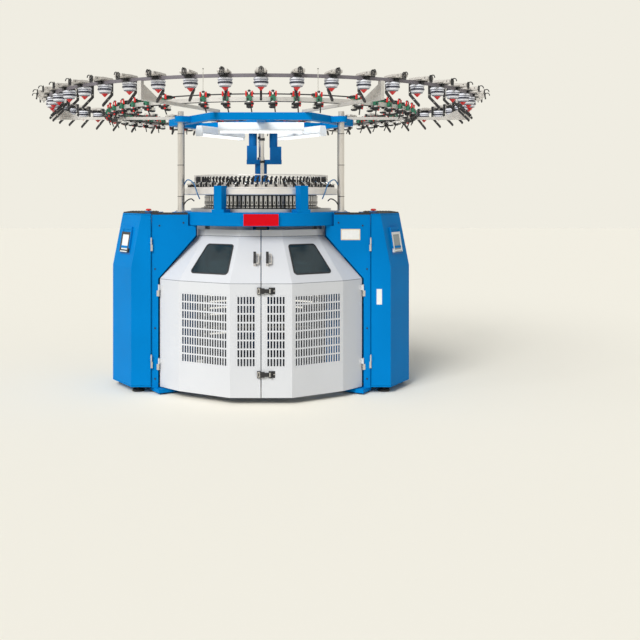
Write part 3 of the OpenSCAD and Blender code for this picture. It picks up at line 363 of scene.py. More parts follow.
def row_of(name, places, finish, node, shapes, smooth=False, bevel=0.0):
    """Copies of one unit at (radius, degrees, height) places, as one plain mesh on the frame.
    The row is drawn in place of the node's own solids."""
    unit = build(name + "_unit", shapes, smooth, bevel)
    points = bpy.data.meshes.new(name)
    points.from_pydata([polar(*place) for place in places], [], [])
    piece = bpy.data.objects.new(name, points)
    bpy.context.scene.collection.objects.link(piece)
    nodes = piece.modifiers.new("row", "NODES")
    nodes.node_group = ring_row
    sockets = {s.name: s.identifier for s in ring_row.interface.items_tree if s.in_out == "INPUT"}
    nodes[sockets["Unit"]] = unit
    nodes[sockets["Finish"]] = finish
    drawn = piece.evaluated_get(bpy.context.evaluated_depsgraph_get())
    mesh = bpy.data.meshes.new_from_object(drawn)
    piece.modifiers.clear()
    piece.data = mesh
    mesh.name = name
    bpy.data.objects.remove(unit)
    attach(piece, "frame")
    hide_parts(node)


def plain(name, colour, rough=0.4, metal=0.0, mottle=0.08, scale=60.0, bump=0.0, coat=0.0):
    """Moulded or machined finish: even colour with a small mottle, also in the roughness."""
    made, mottling = toned(name, colour, rough, scale, 3.0, mottle, mottle)
    put(made.node_tree.nodes["Principled BSDF"], Metallic=metal, Coat_Weight=coat)
    if bump:
        add_relief(made, mottling, bump)
    return made


def skin_of(rings, sides):
    """Faces round a run of rings of points, with closed ends."""
    faces = []
    for k in range(rings - 1):
        for j in range(sides):
            n = (j + 1) % sides
            faces.append((k * sides + j, k * sides + n, (k + 1) * sides + n, (k + 1) * sides + j))
    faces.append(tuple(reversed(range(sides))))
    faces.append(tuple((rings - 1) * sides + j for j in range(sides)))
    return faces


def arc_rod(centre, radius, thick, start, end, steps=16, sides=8):
    """Bent wire in the X-Z plane, from one angle to another in degrees, with closed ends."""
    verts = []
    for k in range(steps + 1):
        a = radians(start + (end - start) * k / steps)
        for j in range(sides):
            b = 2 * pi * j / sides
            reach = radius + thick * cos(b)
            verts.append((centre[0] + reach * cos(a), centre[1] + thick * sin(b),
                          centre[2] + reach * sin(a)))
    return verts, skin_of(steps + 1, sides)


STORE_COUNT = 46
STORE_R = 1.504
store_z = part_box("storage_drums")[1][2]
store_places = [(STORE_R, -90 + k * 360 / STORE_COUNT, store_z) for k in range(STORE_COUNT)]

# Finishes of the storage feeders: warm grey paint, black and red moulded plastic, white and
# navy enamel, bright wire and white ceramic. The positive feeders use the same wire and plastic.
housing_grey = plain("housing_beige_paint", (0.56, 0.53, 0.49), rough=0.38, metal=0.25, scale=20.0)
fitting_black = plain("fitting_black_plastic", (0.014, 0.014, 0.016), rough=0.42, scale=200.0)
drum_white = plain("drum_white_enamel", (0.80, 0.81, 0.86), rough=0.25, coat=0.4)
drum_navy = plain("drum_navy_band", (0.012, 0.014, 0.035), rough=0.3, coat=0.3)
signal_red = plain("signal_red_plastic", (0.66, 0.012, 0.012), rough=0.35, coat=0.2)
bright_wire = plain("bright_steel_wire", (0.72, 0.71, 0.68), rough=0.28, metal=1.0)
ceramic = plain("ceramic_white", (0.85, 0.83, 0.78), rough=0.2, coat=0.5)

# Housings: die-cast boxes with a flat lid and side flanges, painted a warm grey. Two screws
# hold each on the ring bar, and the drum hangs on its spindle under the inner half.
row_of("store_housings", store_places, housing_grey, "storage_housings", [
    slab([(-.048, .004), (-.042, 0), (.098, 0), (.1035, .005), (.1035, .0165), (.098, .0225),
          (-.038, .0225), (-.048, .0145)], -.029, .029),
    slab([(-.020, .022), (.040, .022), (.036, .0262), (-.014, .0262)], -.020, .020),
    block(-.010, .062, -.036, .036, .0065, .0155),
], bevel=0.0016)

# Black fittings of a housing: the collar and foot, lid buttons, side screws and the shade
# under the box. They are moulded in plastic, and pressed or screwed to the housing.
row_of("store_fittings", store_places, fitting_black, "storage_housings", [
    lathe([(.0385, -.0085), (.0400, -.0095), (.0400, -.0165), (.0385, -.0175)], 32),
    block(.032, .042, -.014, .014, -.020, .002),
    rod((.084, -.0300, .012), (.084, .0300, .012), .0036, 10),
    block(-.030, .060, -.0330, .0330, -.0030, .0010),
    moved(lathe([(.007, .0242), (.008, .0235), (.008, .021)], 12), (.060, 0, 0)),
    moved(lathe([(.004, .0242), (.005, .0235), (.005, .021)], 10), (-.036, .012, -.004)),
    block(-.047, -.043, -.010, .010, .006, .012),
    lathe([(.009, .0005), (.009, -.0045)], 16),
])

# Storage drums: spun light metal, enamelled white, with a navy band. Several turns of grey
# yarn lie on each, and a red cone tip of moulded plastic closes the lower end.
row_of("store_drums", store_places, drum_white, "storage_drums", [
    lathe([(.006, .0005), (.006, -.022)], 12),
    lathe([(.030, -.0180), (.0405, -.0200), (.044, -.0240), (.0445, -.0300), (.041, -.0312)], 32),
    lathe([(.0395, -.0375), (.0412, -.0385), (.0412, -.0465), (.0395, -.0475)], 32),
    lathe([(.0395, -.0555), (.0400, -.0560), (.0365, -.0640), (.034, -.0670)], 32),
], smooth=True)

row_of("store_bands", store_places, drum_navy, "storage_drums", [
    lathe([(.0425, -.0432), (.0435, -.0440), (.0435, -.0510), (.0425, -.0518)], 32),
    lathe([(.0335, -.0668), (.0335, -.0690), (.031, -.0696)], 32),
], smooth=True)

yarn_grey = plain("wound_yarn_grey", (0.30, 0.31, 0.36), rough=0.8, scale=900.0, mottle=0.3,
                  bump=0.3)
row_of("store_wound", store_places, yarn_grey, "storage_drums", [
    lathe([(.0408, -.0305), (.0402, -.0385)], 32),
    lathe([(.0402, -.0510), (.0396, -.0562)], 32),
    lathe([(.034, -.0690), (.030, -.0715), (.018, -.0738)], 32),
], smooth=True)

row_of("store_tips", store_places, signal_red, "storage_drums", [
    lathe([(.020, -.0730), (.021, -.0745), (.004, -.0925), (.002, -.0935)], 20),
], smooth=True)

# Entry hook with its loop at the outer end, and exit arm with its foot below the drum: bent
# wire and moulded arms in black, fixed to the housing's ends by small bright screws.
HOOK_X, HOOK_Z = .1195, .012
row_of("store_hooks", store_places, fitting_black, "storage_hooks", [
    arc_rod((HOOK_X, 0, HOOK_Z), .0160, .0034, -10, 235, 18),
    block(.1030, .1090, -.0030, .0030, -.0090, .0040),
    slab([(.1030, -.015), (.1090, -.015), (.1090, -.008), (.1030, -.008)], -.0110, .0110),
    slab([(.1030, .0215), (.1090, .0215), (.1080, .0300), (.1040, .0300)], -.0085, .0085),
    slab([(.1030, -.011), (.1090, -.011), (.1090, .0250), (.1030, .0250)], -.0140, -.0088),
    slab([(.1030, -.011), (.1090, -.011), (.1090, .0250), (.1030, .0250)], .0088, .0140),
    slab([(-.048, .0075), (-.048, .0145), (-.064, .0145), (-.064, -.078), (.006, -.1465),
          (.0165, -.1370), (-.050, -.0715), (-.050, .0075)], -.0065, .0065),
    moved(lathe([(.0055, .004), (.0075, 0), (.0075, -.008), (.0055, -.012)], 12),
          (.0125, 0, -.1400)),
], bevel=0.0008)

row_of("store_eyes", store_places, bright_wire, "storage_hooks", [
    arc_rod((HOOK_X, .0042, HOOK_Z), .0170, .0014, 60, 190, 10, 6),
    rod((.1060, 0, .0290), (.1060, 0, .0315), .003),
    rod((-.056, 0, .0135), (-.056, 0, .0155), .0035),
    rod((-.0555, .0045, -.030), (-.0555, -.0045, -.030), .0028),
    rod((-.0555, .0075, -.060), (-.0555, -.0075, -.060), .0034),
    rod((-.020, .0075, -.1080), (-.020, -.0075, -.1080), .0034),
    moved(lathe([(.0040, .0030), (.0040, 0)], 12), (.0125, 0, -.1550)),
])

# Ring bars and their arms: cold-rolled flat steel, rolled round, zinc plated with a dull warm
# grey lustre on the inner ring. The outer one is the same zinc, coloured a darker grey of
# painted shade; both are clamped to the arms.
zinc = plain("dull_zinc", (0.60, 0.58, 0.55), rough=0.42, metal=0.5, scale=25.0, mottle=0.10)
dress(zinc, "inner_ring", "ring_arms")
# The outer ring's darker purple grey is painted shade on the zinc.
outer_ring_painted_shade = plain("outer_ring_painted_shade_grey", (0.16, 0.145, 0.165), rough=0.42, metal=0.3, scale=25.0,
                  mottle=0.14)
dress(outer_ring_painted_shade, "outer_ring")

# Positive yarn feeders on the inner bar: green cast bodies and clamps, black belt wheels, a
# white yarn wheel, red stop levers and lamps. They stand evenly round the ring, but none
# stands where an arm crosses the bar.
FEED_COUNT = 48
FEED_R = 1.070
ARM_SLOTS = (3, 11, 19, 26, 34, 42)
ARM_ROOM = 2.4
feed_z, feed_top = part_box("feeder_bodies")[0][2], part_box("feeder_bodies")[1][2]
arm_bearings = [-90 + (k + 0.5) * 360 / STORE_COUNT for k in ARM_SLOTS]
feed_places = []
for k in range(FEED_COUNT):
    bearing = -90 + (k + 0.5) * 360 / FEED_COUNT
    if min(abs((bearing - a + 540) % 360 - 180) for a in arm_bearings) >= ARM_ROOM:
        feed_places.append((FEED_R, bearing, feed_z))

feeder_green = plain("feeder_green_enamel", (0.018, 0.155, 0.085), rough=0.35, coat=0.3)
wheel_black = plain("wheel_black_plastic", (0.012, 0.012, 0.014), rough=0.45)
wheel_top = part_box("feeder_wheels")[1][2] - feed_z
wheel_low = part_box("feeder_wheels")[0][2] - feed_z
body_high = wheel_top - 0.015

# Bodies: green enamelled castings, a round column with a foot that reaches out to the bar and
# a square waist for the side screws.
row_of("feed_bodies", feed_places, feeder_green, "feeder_bodies", [
    block(-.016, .0296, -.0145, .0145, .0005, body_high - .0005),
    lathe([(.0185, body_high), (.020, body_high - .0015), (.020, .0015), (.0185, 0)], 24),
    block(-.019, .019, -.0195, .0195, body_high * .42, body_high * .58),
], bevel=0.001)

# Guide arms: moulded black arms that rise towards the machine's axis, with two small studs and
# a cover at the back. A red lamp sits at the arm's end, and a red button on each side.
arm_z = feed_top - feed_z
row_of("feed_guides", feed_places, fitting_black, "feeder_bodies", [
    slab([(-.012, .014), (-.012, .0275), (-.066, arm_z - .0015), (-.070, arm_z - .0060),
          (-.020, .0215)], -.004, .004),
    *(moved(lathe([(.005, .010), (.005, 0)], 10), (-.0085, y, .004)) for y in (.0155, -.0155)),
    block(.019, .0296, -.015, .015, body_high * .62, body_high * .9),
])

row_of("feed_lamps", feed_places, signal_red, "feeder_bodies", [
    moved(lathe([(.003, .012), (.0055, .009), (.0055, 0)], 10), (-.064, 0, arm_z - .014)),
    *(moved(lathe([(.004, .0022), (.0062, .0012), (.0062, -.012), (.004, -.013)], 10),
            (.008, y, body_high * .55)) for y in (.0195, -.0195)),
])

# Clamps: green castings that grip the bar from the front and from above with a knurled screw.
# The red stop levers turn on them, two above the bar and one below.
bar_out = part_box("inner_ring")[1][0] - FEED_R
bar_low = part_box("inner_ring")[0][2] - feed_z
bar_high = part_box("inner_ring")[1][2] - feed_z
row_of("feed_clamps", feed_places, feeder_green, "feeder_bodies", [
    block(bar_out + .0002, bar_out + .020, -.0165, .0165, bar_low + .001, bar_high + .003),
    block(bar_out - .010, bar_out + .014, -.012, .012, bar_high + .0002, bar_high + .009),
    moved(lathe([(.0105, .0050), (.0125, .0040), (.0125, 0)], 16),
          (bar_out + .004, 0, bar_high + .0085)),
], bevel=0.0018)

row_of("feed_levers", feed_places, signal_red, "feeder_bodies", [
    *(slab([(bar_out - .003, bar_high + .006), (bar_out + .007, bar_high + .006),
            (bar_out + .010, bar_high + .034), (bar_out + .002, bar_high + .038)], y, y + .010)
      for y in (-.024, .014)),
    block(bar_out - .002, bar_out + .008, -.0235, .0235, bar_high + .004, bar_high + .011),
    slab([(bar_out + .012, bar_low - .004), (bar_out + .020, bar_low - .004),
          (bar_out + .016, bar_low - .034), (bar_out + .008, bar_low - .030)], .014, .026),
], bevel=0.001)

# Yarn guides: turned white ceramic rings, one below the bar and one above it, held in the clamp.
# Black tension discs, a stop wheel and a bent finger stand round them.
row_of("feed_guides_white", feed_places, ceramic, "feeder_wheels", [
    moved(lathe([(.0080, .0100), (.0110, .0080), (.0110, .0010), (.0080, 0)], 20),
          (bar_out + .009, 0, bar_low - .0100)),
    moved(lathe([(.0060, .0180), (.0065, .0170), (.0065, 0)], 14),
          (bar_out + .002, 0, bar_high + .0125)),
])

row_of("feed_stops", feed_places, wheel_black, "feeder_wheels", [
    moved(lathe([(.0050, .0140), (.0090, .0110), (.0100, .0060), (.0070, .0005), (.0040, 0)], 18),
          (bar_out + .002, 0, bar_high + .0300)),
    moved(lathe([(.0290, .0110), (.0300, .0100), (.0300, .0010), (.0290, 0)], 28),
          (bar_out + .004, 0, bar_low - .0215)),
    moved(lathe([(.0170, .0130), (.0190, .0110), (.0160, .0020), (.0090, 0)], 24),
          (bar_out + .004, 0, bar_low - .0346)),
    rod((bar_out + .004, .010, bar_low - .030), (bar_out - .010, .016, bar_low - .066), .0042),
    rod((bar_out + .0195, -.008, bar_low + .012), (bar_out + .0235, -.008, bar_low + .012),
        .0060, 12),
], smooth=True)

# Wheels: moulded black belt wheels above and below the body on one spindle. The white yarn
# wheel runs between the lower two, and a red cap closes the spindle's top.
row_of("feed_wheels", feed_places, wheel_black, "feeder_wheels", [
    lathe([(.0060, wheel_top - .003), (.0060, -.012)], 12),
    lathe([(.0275, wheel_top - .0045), (.028, wheel_top - .005), (.028, wheel_top - .0145),
           (.027, wheel_top - .015)], 28),
    lathe([(.027, -.0012), (.028, -.002), (.028, -.0105), (.027, -.011)], 28),
    lathe([(.010, -.011), (.010, -.0225)], 16),
    lathe([(.0215, -.0415), (.022, -.043), (.020, wheel_low + .004), (.012, wheel_low)], 28),
], smooth=True)

row_of("feed_reels", feed_places, ceramic, "feeder_wheels", [
    lathe([(.0205, -.0220), (.022, -.0230), (.0200, -.0260), (.0190, -.0390),
           (.0212, -.0416)], 28),
], smooth=True)

row_of("feed_caps", feed_places, signal_red, "feeder_wheels", [
    lathe([(.0060, wheel_top), (.0085, wheel_top - .0015), (.0120, wheel_top - .0045)], 20),
], smooth=True)

# Belts: flat punched tape with steel cords, joined to a loop and laid round the feeders' wheels.
# The drive belt below is a black rubber one between the motor and the drive shaft.
belt_black = plain("belt_black", (0.02, 0.02, 0.022), rough=0.5, scale=500.0)
dress(belt_black, "feed_belts", "drive_belt")

# Knitting head: hardened and ground steel. A black drum carries tall bright cam blocks with a
# row of small square plates under them; all are screwed on and polished by hand.
HEAD_DRUM_R, DRUM_BORE_R, DRUM_FOOT_R = 0.417, .3812, .440
CAM_BLOCKS = 84
head_steel = plain("ground_steel", (0.66, 0.65, 0.63), rough=0.30, metal=0.85, scale=40.0,
                   mottle=0.10)
head_dark = plain("blackened_steel", (0.022, 0.022, 0.025), rough=0.38, metal=0.4, scale=90.0)
pale_steel = plain("satin_chrome_ring", (0.78, 0.75, 0.72), rough=0.34, metal=0.55, scale=30.0,
                   mottle=0.05)
plate_steel = plain("lapped_steel_plate", (0.56, 0.55, 0.53), rough=0.36, metal=0.8, scale=25.0,
                    mottle=0.10)

plate_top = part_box("base_plate")[1][2]
ring_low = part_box("cam_ring")[0][2]


def tube(outer, inner, low, high, segments=120):
    """Closed ring with a square section."""
    profile = ((outer, high), (outer, low), (inner, low), (inner, high))
    verts, faces = [], []
    for j, (r, z) in enumerate(profile):
        verts += circle(r, z, segments)
        m = (j + 1) % len(profile)
        for k in range(segments):
            n = (k + 1) % segments
            faces.append((j * segments + k, m * segments + k, m * segments + n, j * segments + n))
    return verts, faces


def fit(piece, finish, body="frame", node=None):
    """Gives one piece its finish and body; it is drawn in place of a node's solids, if named."""
    piece.data.materials.append(finish)
    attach(piece, body)
    if node:
        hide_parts(node)


drum_body = build("head_drum", [
    tube(HEAD_DRUM_R - .006, DRUM_BORE_R, plate_top + .0002, ring_low - .0002),
    tube(DRUM_FOOT_R, HEAD_DRUM_R - .008, plate_top + .0002, plate_top + .005),
])
fit(drum_body, head_dark, node="cam_drum")

drum_places = [(HEAD_DRUM_R, k * 360 / CAM_BLOCKS, plate_top) for k in range(CAM_BLOCKS)]
drum_h = ring_low - plate_top
row_of("cam_blocks", drum_places, head_steel, "cam_drum", [
    block(-.0066, 0, -.0085, .0085, .0245, drum_h - .0065),
    block(-.0066, .004, -.0095, .0095, .0055, .0168),
    rod((-.001, 0, drum_h - .016), (.0012, 0, drum_h - .016), .0032),
], bevel=0.0012)

row_of("cam_marks", drum_places, head_dark, "cam_drum", [
    block(-.002, .0006, -.0035, .0035, .034, .052),
    block(.002, .0046, -.003, .003, .0085, .0135),
])

# The plates and rings of the head are turned and lapped: the base plate plain, the cam rings
# in pale satin chrome. The cylinder, the dial and the gears are ground steel.
dress(plate_steel, "base_plate")
dress(pale_steel, "cam_ring", "dial_cam_plate", "yarn_guide_ring")
dress(head_steel, "needle_cylinder", "dial", "gear_ring", "drive_shaft", "motor_pulley",
      "winding_shaft")

# Yarn feeders on the cam ring: blackened steel clamp posts, screwed down, with bright slanted
# fingers that end in a small cross bar for the yarn.
FINGER_COUNT = 48
FINGER_R = .505
cam_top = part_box("cam_ring")[1][2]
feeder_places = [(FINGER_R, (k + .5) * 360 / FINGER_COUNT, cam_top) for k in range(FINGER_COUNT)]
row_of("feeder_clamps", feeder_places, head_dark, "yarn_feeders", [
    block(0, .038, -.007, .007, 0, .012),
    block(0, .012, -.007, .007, .011, .046),
    moved(lathe([(.0045, .026), (.006, .024), (.006, .011)], 12), (.030, 0, 0)),
], bevel=0.0008)

row_of("feeder_fingers", feeder_places, bright_wire, "yarn_feeders", [
    rod((.004, 0, .0445), (.037, 0, .0315), .0028),
    block(-.0015, .0015, -.006, .006, .016, .040),
    block(.018, .026, -.006, .006, .012, .0155),
    rod((.0365, -.005, .031), (.0365, .005, .031), .0042, 12),
])

# Ring of gates inside the feeders: blackened steel fingers in crossed pairs on flat feet, with
# bright ground blocks at their foot. They stand on a low step ring, screwed down from above.
GATE_R = .470
GATE_COUNT = 96
STEP_OUT_R, STEP_IN_R = .5480, .4600
gate_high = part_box("yarn_guide_ring")[1][2] - cam_top - .014
gate_places = [(GATE_R, (k + .25) * 360 / GATE_COUNT, cam_top) for k in range(GATE_COUNT)]
row_of("gate_fingers", gate_places, head_dark, "yarn_feeders", [
    rod((.004, -.008, .034), (.012, .007, gate_high), .0070, 10),
    rod((.004, .010, .030), (.014, -.006, gate_high - .010), .0048, 8),
    block(-.010, .016, -.014, .014, .0245, .0320),
], bevel=0.0006)

row_of("gate_blocks", gate_places, pale_steel, "yarn_feeders", [
    block(-.008, .018, -.016, .004, .0005, .0250),
    block(.002, .020, .006, .017, .0005, .0420),
    rod((.019, -.006, .014), (.0225, -.006, .014), .0050, 12),
], bevel=0.0012)

step_ring = build("cam_step_ring", [tube(STEP_OUT_R, STEP_IN_R, cam_top - .0002, cam_top + .0085)])
fit(step_ring, pale_steel)

# Adjusting knobs: light-blue moulded plastic caps, pressed on set screws at the top of the
# clamp posts. Every second feeder has one.
knob_blue = plain("knob_light_blue", (0.10, 0.36, 0.62), rough=0.35, coat=0.3)
row_of("feeder_knobs", feeder_places[::2], knob_blue, "yarn_feeders", [
    moved(lathe([(.003, .0475), (.0052, .0465), (.0052, .0400)], 12), (.006, 0, 0)),
])

# Posts: ground and chromed round bar, bolted to lugs on the bed and to the top frame. The
# hinge pins of the doors are turned from the same bright bar.
chrome = plain("chromed_bar", (0.66, 0.63, 0.59), rough=0.30, metal=0.85, scale=4.0, mottle=0.03)
dress(chrome, "posts", "hinge_pins")

# Levelling feet and the mats on the two cabinets: black rubber. The feet are moulded pads under
# the legs, and the mats are cut from sheet and glued down.
rubber = plain("black_rubber", (0.012, 0.012, 0.013), rough=0.62, scale=300.0, bump=0.1)
dress(rubber, "levelling_feet", "top_mats")

# Door windows: toned safety glass on the sloping flank facets of the doors. A black rubber
# strip is pressed round each pane and holds it in its opening.
SLOPE_LOW = (0.760, 0.793)
SLOPE_TOP = (0.533, 1.091)
FLANK_TURN = 30
WINDOW_CORNERS = ((-.134, .088), (.112, .088), (.070, .282), (-.101, .282))
slope_tilt = atan2(SLOPE_TOP[1] - SLOPE_LOW[1], SLOPE_LOW[0] - SLOPE_TOP[0])
glass = plain("smoked_pane", (0.040, 0.085, 0.110), rough=0.08, scale=5.0, mottle=0.2)
put(glass.node_tree.nodes["Principled BSDF"], Transmission_Weight=0.70, Specular_IOR_Level=0.22)


def rounded(corners, grow, steps=6):
    """Counter-clockwise outline that runs at a distance round the given corners."""
    points = []
    count = len(corners)
    for k in range(count):
        before, here, after = (Vector(corners[j % count]) for j in (k - 1, k, k + 1))
        first = (here - before).normalized()
        second = (after - here).normalized()
        start = atan2(-first.x, first.y)
        sweep = (atan2(-second.x, second.y) - start) % (2 * pi)
        for j in range(steps + 1):
            a = start + sweep * j / steps
            points.append((here.x + grow * cos(a), here.y + grow * sin(a)))
    return points


def laid(shape, place, side):
    """Shape set into its place; side -1 mirrors it to the left."""
    verts = []
    for v in shape[0]:
        p = place @ Vector(v)
        verts.append((side * p.x, p.y, p.z))
    return verts, shape[1]


def on_slope(shape, turn, side):
    """Lays a drawing (U across, V up, W outwards) on the front slope of a door or its flank."""
    place = (Matrix.Rotation(radians(turn), 4, "Z")
             @ Matrix.Translation((0, -SLOPE_LOW[0], SLOPE_LOW[1]))
             @ Matrix.Rotation(slope_tilt, 4, "X"))
    return laid(shape, place, side)


def strip(outer, inner, w0, w1):
    """Frame between two outlines of equally many points."""
    n = len(outer)
    verts = [(u, v, w) for w in (w0, w1) for line in (outer, inner) for u, v in line]
    faces = []
    for k in range(n):
        m = (k + 1) % n
        faces.append((k, m, 2 * n + m, 2 * n + k))
        faces.append((n + m, n + k, 3 * n + k, 3 * n + m))
        faces.append((2 * n + k, 2 * n + m, 3 * n + m, 3 * n + k))
        faces.append((m, k, n + k, n + m))
    return verts, faces


SIDES = ((-1, "left"), (1, "right"))
pane = plate(rounded(WINDOW_CORNERS, .0177), -.004, .0012)
gasket = strip(rounded(WINDOW_CORNERS, .025), rounded(WINDOW_CORNERS, .0165), .0001, .003)
for side, word in SIDES:
    for part, shape, finish, finish_slot in (("_pane", pane, glass, "window"),
                                             ("_gasket", gasket, rubber, "rubber")):
        fit(build(word + part, [on_slope(shape, FLANK_TURN, side)]),
            finish, word + "_door", word + "_window")

# Pull handles of the doors: chromed steel legs on flat feet, with a moulded black grip across
# them and a bright guard bar beside it. Screws from inside the door hold them.
HANDLE = (.042, .180, .090)
GUARD_REACH = .026
for side, word in SIDES:
    u, v, long = HANDLE
    low, high = v - long / 2, v + long / 2
    beside = u + side * .027
    grip = build(word + "_grip", [on_slope(shape, 0, side) for shape in (
        block(u - .009, u + .009, low, high, .030, .040),
        block(u - .0065, u + .0065, low + .004, high - .004, .028, .031),
    )], bevel=0.003)
    fit(grip, fitting_black, word + "_door", word + "_handle")
    legs = build(word + "_legs", [on_slope(shape, 0, side) for shape in (
        block(u - .0075, u + .0075, low + .001, low + .016, .0002, .0305),
        block(u - .0075, u + .0075, high - .016, high - .001, .0002, .0305),
        block(u - .009, u + .009, low, low + .018, .0001, .003),
        block(u - .009, u + .009, high - .018, high, .0001, .003),
        *(block(min(u, u + side * GUARD_REACH), max(u, u + side * GUARD_REACH), z, z + .007,
                .018, .024) for z in (high - .012, low + .005)),
        block(beside - .003, beside + .003, low + .008, high - .008, .0002, .022),
    )], bevel=0.0012)
    fit(legs, chrome, word + "_door", word + "_handle")

# Latches between the doors: the right door has a black base with two ears and a bright pin at
# each height, the left one a keeper with a bright plate. The levers swing on the pins.
LATCH_PIN = (.066, -.771)
LATCH_HEIGHTS = (.745, .199)
LATCH_HALF = .022
x, y = LATCH_PIN
bases = {"left": [], "right": []}
pins = {"left": [], "right": []}
for word, height in zip(("upper", "lower"), LATCH_HEIGHTS):
    low, high = height - LATCH_HALF, height + LATCH_HALF
    bases["left"] += [
        block(-.026, -.004, -.774, -.7601, low, high),
        block(-.0190, -.0110, -.7760, -.7750, height - .012, height + .012)]
    bases["right"] += [
        block(x - .016, x + .026, -.764, -.7601, low, high),
        *(block(x - .008, x + .008, -.776, -.7639, z, z + .008) for z in (high - .008, low))]
    pins["left"].append(block(-.0225, -.0075, -.7752, -.7738, height - .017, height + .017))
    pins["right"] += [
        moved(lathe([(.003, 2 * LATCH_HALF), (.003, 0)], 16), (x, y, low)),
        rod((x + .020, -.7652, height), (x + .020, -.7638, height), .0035, 12)]
    dress(fitting_black, word + "_latch")
    bar = build(word + "_latch_bar", [
        block(x - .0110, x - .0050, y - .0066, y - .0052, height - .014, height + .014),
    ], bevel=0.0004)
    fit(bar, bright_wire, word + "_latch")
for word in ("left", "right"):
    fit(build(word + "_latch_base", bases[word], bevel=0.0015),
        fitting_black, word + "_door", word + "_handle")
    fit(build(word + "_latch_pins", pins[word]),
        chrome, word + "_door", word + "_handle")

# Catch that holds both doors shut at the top: a black steel block, screwed to the underside of
# the bed in the middle of the front.
catch = build("door_catch", [block(-.034, .041, -.546, -.505, 1.1385, 1.1600)], bevel=0.002)
fit(catch, fitting_black)

# Operator panels on the leaning facets of the cabinet doors: a black bezel with a white
# membrane on the left, a white bezel with a grey screen on the right. Both are bare, with five
# keys in a row. Round each lies a flat strip of deeper blue, painted shade for the recess
# it sits in.
PANEL_Z, PANEL_HALF, PANEL_DEPTH = 1.040, .070, .013
FACET_IN, FACET_OUT = (.897, -.430), (1.067, -.170)
LEAN, LEAN_LOW, LEAN_HIGH = .072, .870, 1.243
KEY_STEP, KEY_HALF = .022, .009
facet_turn = atan2(FACET_OUT[1] - FACET_IN[1], FACET_OUT[0] - FACET_IN[0])
lean_here = LEAN * (PANEL_Z - LEAN_LOW) / (LEAN_HIGH - LEAN_LOW)
panel_tip = atan2(LEAN * sin(facet_turn), LEAN_HIGH - LEAN_LOW)
bezel_white = plain("bezel_white_plastic", (0.72, 0.73, 0.73), rough=0.4)
screen_grey = plain("screen_grey", (0.26, 0.30, 0.31), rough=0.12, scale=8.0, mottle=0.2)
membrane = plain("membrane_white", (0.78, 0.80, 0.80), rough=0.3)


def on_cabinet(shape, side):
    """Lays a drawing on the leaning facet of a cabinet door."""
    middle = ((FACET_IN[0] + FACET_OUT[0]) / 2 - lean_here, (FACET_IN[1] + FACET_OUT[1]) / 2,
              PANEL_Z)
    place = (Matrix.Translation(middle) @ Matrix.Rotation(facet_turn, 4, "Z")
             @ Matrix.Rotation(pi / 2 - panel_tip, 4, "X"))
    return laid(shape, place, side)


def square_line(half, high=None):
    """Corners of an upright rectangle round the middle."""
    high = high or half
    return [(-half, -high), (half, -high), (half, high), (-half, high)]


# The flat border strip in deeper blue is painted shade for the recess round the panel.
border = strip(square_line(PANEL_HALF + .012, PANEL_HALF + .016),
               square_line(PANEL_HALF + .0008), .0001, .0022)
bezel = strip(square_line(PANEL_HALF + .0006), square_line(PANEL_HALF - .0166),
              .0005, PANEL_DEPTH + .0006)
face = plate(square_line(PANEL_HALF - .0162), .0078, .0100)
keys = [block(k * KEY_STEP - KEY_HALF, k * KEY_STEP + KEY_HALF, -.0715, -.0630, .0130, .0146)
        for k in (-2, -1, 0, 1, 2)]
for side, word, frame_finish, face_finish in ((-1, "left", fitting_black, membrane),
                                              (1, "right", bezel_white, screen_grey)):
    for part, shapes, finish, finish_slot in (
        ("_panel_recess", [border], deep_blue, "blue_paint"),
        ("_bezel", [bezel], frame_finish, "black_steel"),
        ("_screen", [face], face_finish, "white_plastic"),
        ("_keys", keys, face_finish, "white_plastic"),
    ):
        fit(build(word + part, [on_cabinet(shape, side) for shape in shapes]),
            finish, word + "_cabinet_door")

# Hinges of the cabinet doors: bright rolled sleeves over the upper barrels, so that each
# hinge shows its whole length in bare steel. They turn with the doors on the hinge lines.
SLEEVE_X, SLEEVE_Y, SLEEVE_R = .758, -.4354, .0053
SLEEVE_LONG = .0435
SLEEVE_LOWS = (1.0307, .2217)
for side, word in SIDES:
    sleeves = build(word + "_hinge_sleeves", [
        moved(lathe([(SLEEVE_R, SLEEVE_LONG), (SLEEVE_R, 0)], 20),
              (side * SLEEVE_X, SLEEVE_Y, low))
        for low in SLEEVE_LOWS], smooth=True)
    fit(sleeves, zinc, word + "_cabinet_door")

# Bare labels: plain film, glued on. A white one is on the right cabinet door, and a cream one
# with a white field on the right side panel.
label_white = plain("label_white", (0.80, 0.80, 0.78), rough=0.5)
label_cream = plain("label_cream", (0.74, 0.62, 0.40), rough=0.5)
for name, shape, finish, body in (
    ("door_label", block(.7994, .8361, -.4308, -.4299, .615, .722),
     label_white, "right_cabinet_door"),
    ("side_label", block(.5533, .6870, -.4208, -.4199, 1.0604, 1.1365), label_cream, "frame"),
    ("side_label_face", block(.5593, .6810, -.4212, -.4207, 1.0664, 1.1305),
     label_white, "frame"),
):
    fit(build(name, [shape]), finish, body)

# Screws of the side panels: pressed steel button heads, blackened. Five hold each panel to the
# frame behind it.
SCREW_PLACES = ((.7036, 1.160), (.537, 1.180), (.7340, .100), (.7340, .450), (.7340, .860))
panel_screws = build("panel_screws", [
    rod((side * x, -.4232, z), (side * x, -.4198, z), .0058, 14)
    for side in (-1, 1) for x, z in SCREW_PLACES])
fit(panel_screws, head_dark)

